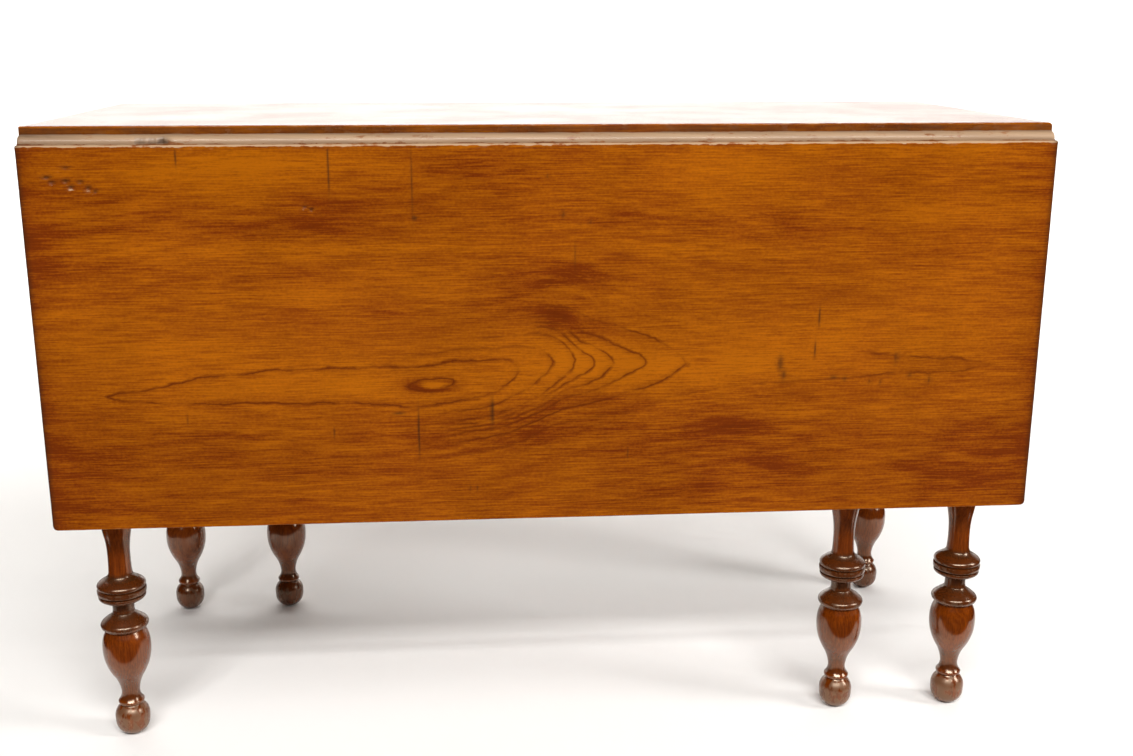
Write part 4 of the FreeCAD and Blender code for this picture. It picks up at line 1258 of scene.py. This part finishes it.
def wood_material(name, grain_axis, bent, colours):
    """Varnished or bare wood of this finish; its mottling is bent if its pieces carry a heart.

    The colours are those of the light and dark streaks, the ring lines and the worn wood.
    """
    material, tree, shader = new_material(name)
    shine, coat, specular, bump, tint = finishes[name]
    vector, bent_vector = grain_vectors(tree, grain_axis, bent)
    light, dark, line, worn = (tuple(colour) for colour in colours)
    grain = placed_group(tree, "wood_grain", grain_group, {
        "Vector": vector, "Bent": bent_vector, "Light": light, "Dark": dark, "Line": line,
        "Ring": attribute(tree, "ring"), "Span": attribute(tree, "span"),
        "Figure": attribute(tree, "figure"), "Tone": attribute(tree, "tone")})
    patina = placed_group(tree, "old_varnish", patina_group, {
        "Vector": vector, "Color": grain["Color"], "Worn": worn, "Wear": attribute(tree, "wear"),
        "Stain": attribute(tree, "stain"), "Shine": shine})
    tree.links.new(patina["Color"], shader.inputs["Base Color"])
    tree.links.new(patina["Roughness"], shader.inputs["Roughness"])
    bumped(tree, shader, bump, grain["Height"])
    shader.inputs["Specular IOR Level"].default_value = specular
    shader.inputs["Specular Tint"].default_value = tint
    shader.inputs["Coat Weight"].default_value = coat
    shader.inputs["Coat Roughness"].default_value = coat_roughness
    return material


def iron_material(settings):
    """Dull forged iron under a broken film of rust."""
    material, tree, shader = new_material("forged_iron")
    place = put_node(tree, "ShaderNodeTexCoord").outputs["Object"]
    film = remapped(tree, stretched_noise(tree, place, "rust"), *rust_range)
    colour = blended(tree, film, tuple(settings.bare), tuple(settings.rust))
    tree.links.new(colour, shader.inputs["Base Color"])
    tree.links.new(remapped(tree, film, 0.0, 1.0, *iron_roughness), shader.inputs["Roughness"])
    tree.links.new(remapped(tree, film, 0.0, 1.0, *iron_metal), shader.inputs["Metallic"])
    bumped(tree, shader, pit_strength, stretched_noise(tree, place, "pits"))
    return material


def wood_colours(settings):
    """Colours of a varnished wood's settings, in the order in which a wood material takes them."""
    return settings.light, settings.dark, settings.line, settings.worn


def paint_nodes(names, material):
    """Gives CAD nodes a material in place of their own."""
    for name in names:
        mesh = frame["nodes"][name].data
        mesh.materials.clear()
        mesh.materials.append(material)


# Operators

class DROP_LEAF_OT_top(bpy.types.Operator):
    """Makes the fixed top with its rule-joint mouldings"""
    bl_idname = "drop_leaf.top"
    bl_label = "Top"

    def execute(self, context):
        settings = context.scene.drop_leaf_boards
        piece = make_top(settings, wood_material("top_varnish", along_x, True, wood_colours(settings)))
        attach(piece, "frame")
        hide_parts("top_board")
        return {"FINISHED"}


class DROP_LEAF_OT_leaves(bpy.types.Operator):
    """Makes the two hanging leaves"""
    bl_idname = "drop_leaf.leaves"
    bl_label = "Leaves"

    def execute(self, context):
        settings = context.scene.drop_leaf_boards
        material = wood_material("board_varnish", along_x, True, wood_colours(settings))
        for side, half_turned in (("front", False), ("rear", True)):
            piece = make_leaf("leaf_%s_board" % side, half_turned, settings, material)
            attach(piece, "leaf_%s_body" % side)
            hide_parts("leaf_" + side)
        return {"FINISHED"}


class DROP_LEAF_OT_legs(bpy.types.Operator):
    """Makes the six turned legs and finishes their pegs"""
    bl_idname = "drop_leaf.legs"
    bl_label = "Legs"

    def execute(self, context):
        settings = context.scene.drop_leaf_legs
        material = wood_material("leg_varnish", along_z, False, wood_colours(settings))
        for seed, node in enumerate(corner_legs):
            make_leg(node, "frame", settings, material, seed)
        for seed, node in enumerate(swing_legs, len(corner_legs)):
            make_leg(node, node.replace("leg_", "") + "_body", settings, material, seed)
        paint_nodes(("frame_pegs", "swing_pegs_front", "swing_pegs_rear"), material)
        return {"FINISHED"}


class DROP_LEAF_OT_rails(bpy.types.Operator):
    """Makes the end rails and inner rails, and finishes the swing rails and fixing blocks"""
    bl_idname = "drop_leaf.rails"
    bl_label = "Rails"

    def execute(self, context):
        settings = context.scene.drop_leaf_rails
        varnished = wood_colours(context.scene.drop_leaf_boards)
        outer = wood_material("end_rail_varnish", along_y, False, varnished)
        planed = (settings.light, settings.dark, settings.dark, settings.light)
        bare = wood_material("bare_rail_wood", along_x, False, planed)
        for end in ("left", "right"):
            make_rail("end_rail_" + end, settings, outer)
        for side in ("front", "rear"):
            make_rail("inner_rail_" + side, settings, bare)
        kept = ("hinge_rail_front", "hinge_rail_rear", "fly_rail", "fixing_block")
        paint_nodes([name for name in frame["nodes"] if name.startswith(kept)], bare)
        return {"FINISHED"}


class DROP_LEAF_OT_ironwork(bpy.types.Operator):
    """Finishes the hinges, pins and screws"""
    bl_idname = "drop_leaf.ironwork"
    bl_label = "Ironwork"

    def execute(self, context):
        iron = [row["node"] for row in frame["record"]["subparts"] if row["material_slot"] == "iron"]
        paint_nodes(iron, iron_material(context.scene.drop_leaf_iron))
        return {"FINISHED"}


class DROP_LEAF_OT_stage(bpy.types.Operator):
    """Makes the floor that sweeps up behind the table, the lamps and the camera"""
    bl_idname = "drop_leaf.stage"
    bl_label = "Stage"

    floor_front = -6.0
    floor_back = 3.6
    sweep_radius = 1.4
    sweep_rows = 16
    wall_height = 4.0
    half_width = 9.0
    sheet_front = -0.32              # the floor that the varnish shows starts here
    sheet_half_width = 0.9
    floor_shade = (0.62, 0.60, 0.57, 1.0)
    floor_shading = 0.06             # how much of that shade shows in the clouds of the floor
    floor_roughness = 0.75
    floor_specular = 0.2
    air_colour = (1.0, 0.97, 0.91, 1.0)
    lamps = (                        # setting that holds the lamp's power, place, target and size
        ("main", (0.0, -4.2, 4.2), (0.0, 0.0, 0.3), (5.0, 1.0)),
        ("side", (4.0, -1.5, 2.6), (0.0, 0.0, 0.3), (1.2, 1.8)),
        ("backdrop", (0.0, 2.6, 3.6), (0.0, 5.0, 0.9), (8.0, 0.8)),
    )

    def execute(self, context):
        settings = context.scene.drop_leaf_stage
        for piece in self.make_floor(settings):
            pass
        self.make_world(context.scene, settings)
        for setting, place, target, size in self.lamps:
            self.make_lamp(context.scene, setting + "_lamp", place, target, size, getattr(settings, setting))
        self.make_camera(context.scene, settings)
        context.scene.view_settings.view_transform = "Standard"
        return {"FINISHED"}

    def make_floor(self, settings):
        """Flat floor that bends up a quarter circle into a wall: y and z follow the bend's sine and cosine.

        It is two pieces: a sheet under and behind the table, and the rest, which the varnish doesn't show.
        """
        bend = np.linspace(0, math.pi / 2, self.sweep_rows)
        depth = np.concatenate([
            [self.floor_front, self.sheet_front], self.floor_back + self.sweep_radius * np.sin(bend),
            [self.floor_back + self.sweep_radius]])
        height = np.concatenate([np.zeros(2), self.sweep_radius * (1 - np.cos(bend)), [self.wall_height]])
        across = np.array((-self.half_width, -self.sheet_half_width, self.sheet_half_width, self.half_width))
        grid = (len(depth), len(across))
        points = np.stack([
            np.broadcast_to(across, grid), np.broadcast_to(depth[:, None], grid),
            np.broadcast_to(height[:, None], grid)], axis=-1)
        index = np.arange(points.shape[0] * len(across)).reshape(grid)
        quads = np.stack([index[:-1, :-1], index[:-1, 1:], index[1:, 1:], index[1:, :-1]], axis=-1)
        in_sheet = np.zeros(quads.shape[:2], dtype=bool)
        in_sheet[1:, 1] = True
        in_sheet[2:] = True
        material = self.floor_material(settings)
        floors = []
        for name, chosen, shown in (("floor_sheet", in_sheet, True), ("floor_beyond", ~in_sheet, False)):
            mesh = bpy.data.meshes.new(name)
            mesh.from_pydata(points.reshape(-1, 3), [], quads[chosen].tolist())
            floor = linked_piece(name, mesh, material)
            floor.visible_glossy = shown
            floors.append(floor)
        return floors

    def floor_material(self, settings):
        """Pale paper with faint clouds."""
        material, tree, shader = new_material("floor_paper")
        place = put_node(tree, "ShaderNodeTexCoord").outputs["Object"]
        cloud = stretched_noise(tree, place, "paper")
        colour = tuple(settings.floor)
        shaded = blended(tree, self.floor_shading, colour, self.floor_shade)
        tree.links.new(blended(tree, cloud, colour, shaded), shader.inputs["Base Color"])
        shader.inputs["Roughness"].default_value = self.floor_roughness
        shader.inputs["Specular IOR Level"].default_value = self.floor_specular
        return material

    def make_world(self, scene, settings):
        """White to the camera and an even light from all round, but dark in the varnish."""
        world = bpy.data.worlds.new("studio_air")
        world.use_nodes = True
        tree = world.node_tree
        ray = put_node(tree, "ShaderNodeLightPath").outputs
        strength = weighted(tree, (ray["Is Camera Ray"], ray["Is Diffuse Ray"]), (1.0, settings.sky))
        background = tree.nodes["Background"]
        background.inputs["Color"].default_value = self.air_colour
        tree.links.new(strength, background.inputs["Strength"])
        scene.world = world

    def make_lamp(self, scene, name, place, target, size, power):
        """Rectangular soft lamp that faces its target."""
        lamp = bpy.data.lights.new(name, "AREA")
        lamp.shape = "RECTANGLE"
        lamp.size, lamp.size_y = size
        lamp.energy = power
        holder = bpy.data.objects.new(name, lamp)
        holder.location = place
        holder.rotation_euler = (Vector(target) - Vector(place)).to_track_quat("-Z", "Y").to_euler()
        scene.collection.objects.link(holder)

    def make_camera(self, scene, settings):
        """Camera of the settings' place and turns, with the lens that its focal length in pixels gives."""
        lens = bpy.data.cameras.new("photo_camera")
        lens.sensor_fit = "HORIZONTAL"
        lens.sensor_width = sensor_width
        lens.lens = sensor_width * focal_pixels / photo_width
        camera = bpy.data.objects.new("photo_camera", lens)
        yaw, pitch = settings.camera_yaw, settings.camera_pitch
        forward = Vector((
            math.sin(yaw) * math.cos(pitch), math.cos(yaw) * math.cos(pitch), -math.sin(pitch)))
        camera.location = settings.camera_place
        camera.rotation_mode = "QUATERNION"
        roll = Quaternion((0.0, 0.0, 1.0), settings.camera_roll)
        camera.rotation_quaternion = forward.to_track_quat("-Z", "Y") @ roll
        scene.collection.objects.link(camera)
        scene.camera = camera


class DROP_LEAF_PT_panel(bpy.types.Panel):
    """Sidebar panel that lists the settings and the pieces"""
    bl_idname = "DROP_LEAF_PT_panel"
    bl_label = "Drop-leaf table"
    bl_space_type = "VIEW_3D"
    bl_region_type = "UI"
    bl_category = "Table"

    def draw(self, context):
        for name in setting_groups:
            settings = getattr(context.scene, name)
            box = self.layout.box()
            for prop in settings.__annotations__:
                box.prop(settings, prop)
        for operator in operators:
            self.layout.operator(operator.bl_idname)


setting_groups = {
    "drop_leaf_boards": BoardSettings,
    "drop_leaf_legs": LegSettings,
    "drop_leaf_rails": RailSettings,
    "drop_leaf_iron": IronSettings,
    "drop_leaf_stage": StageSettings,
}
operators = (
    DROP_LEAF_OT_top, DROP_LEAF_OT_leaves, DROP_LEAF_OT_legs, DROP_LEAF_OT_rails, DROP_LEAF_OT_ironwork,
    DROP_LEAF_OT_stage,
)


def register():
    for group in setting_groups.values():
        bpy.utils.register_class(group)
    for name, group in setting_groups.items():
        setattr(bpy.types.Scene, name, PointerProperty(type=group))
    for operator in operators:
        bpy.utils.register_class(operator)
    bpy.utils.register_class(DROP_LEAF_PT_panel)


def unregister():
    bpy.utils.unregister_class(DROP_LEAF_PT_panel)
    for operator in reversed(operators):
        bpy.utils.unregister_class(operator)
    for name, group in reversed(setting_groups.items()):
        delattr(bpy.types.Scene, name)
        bpy.utils.unregister_class(group)


def main():
    register()
    bpy.ops.drop_leaf.top()
    bpy.ops.drop_leaf.leaves()
    bpy.ops.drop_leaf.legs()
    bpy.ops.drop_leaf.rails()
    bpy.ops.drop_leaf.ironwork()
    bpy.ops.drop_leaf.stage()
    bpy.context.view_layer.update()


if __name__ == "__main__":
    main()
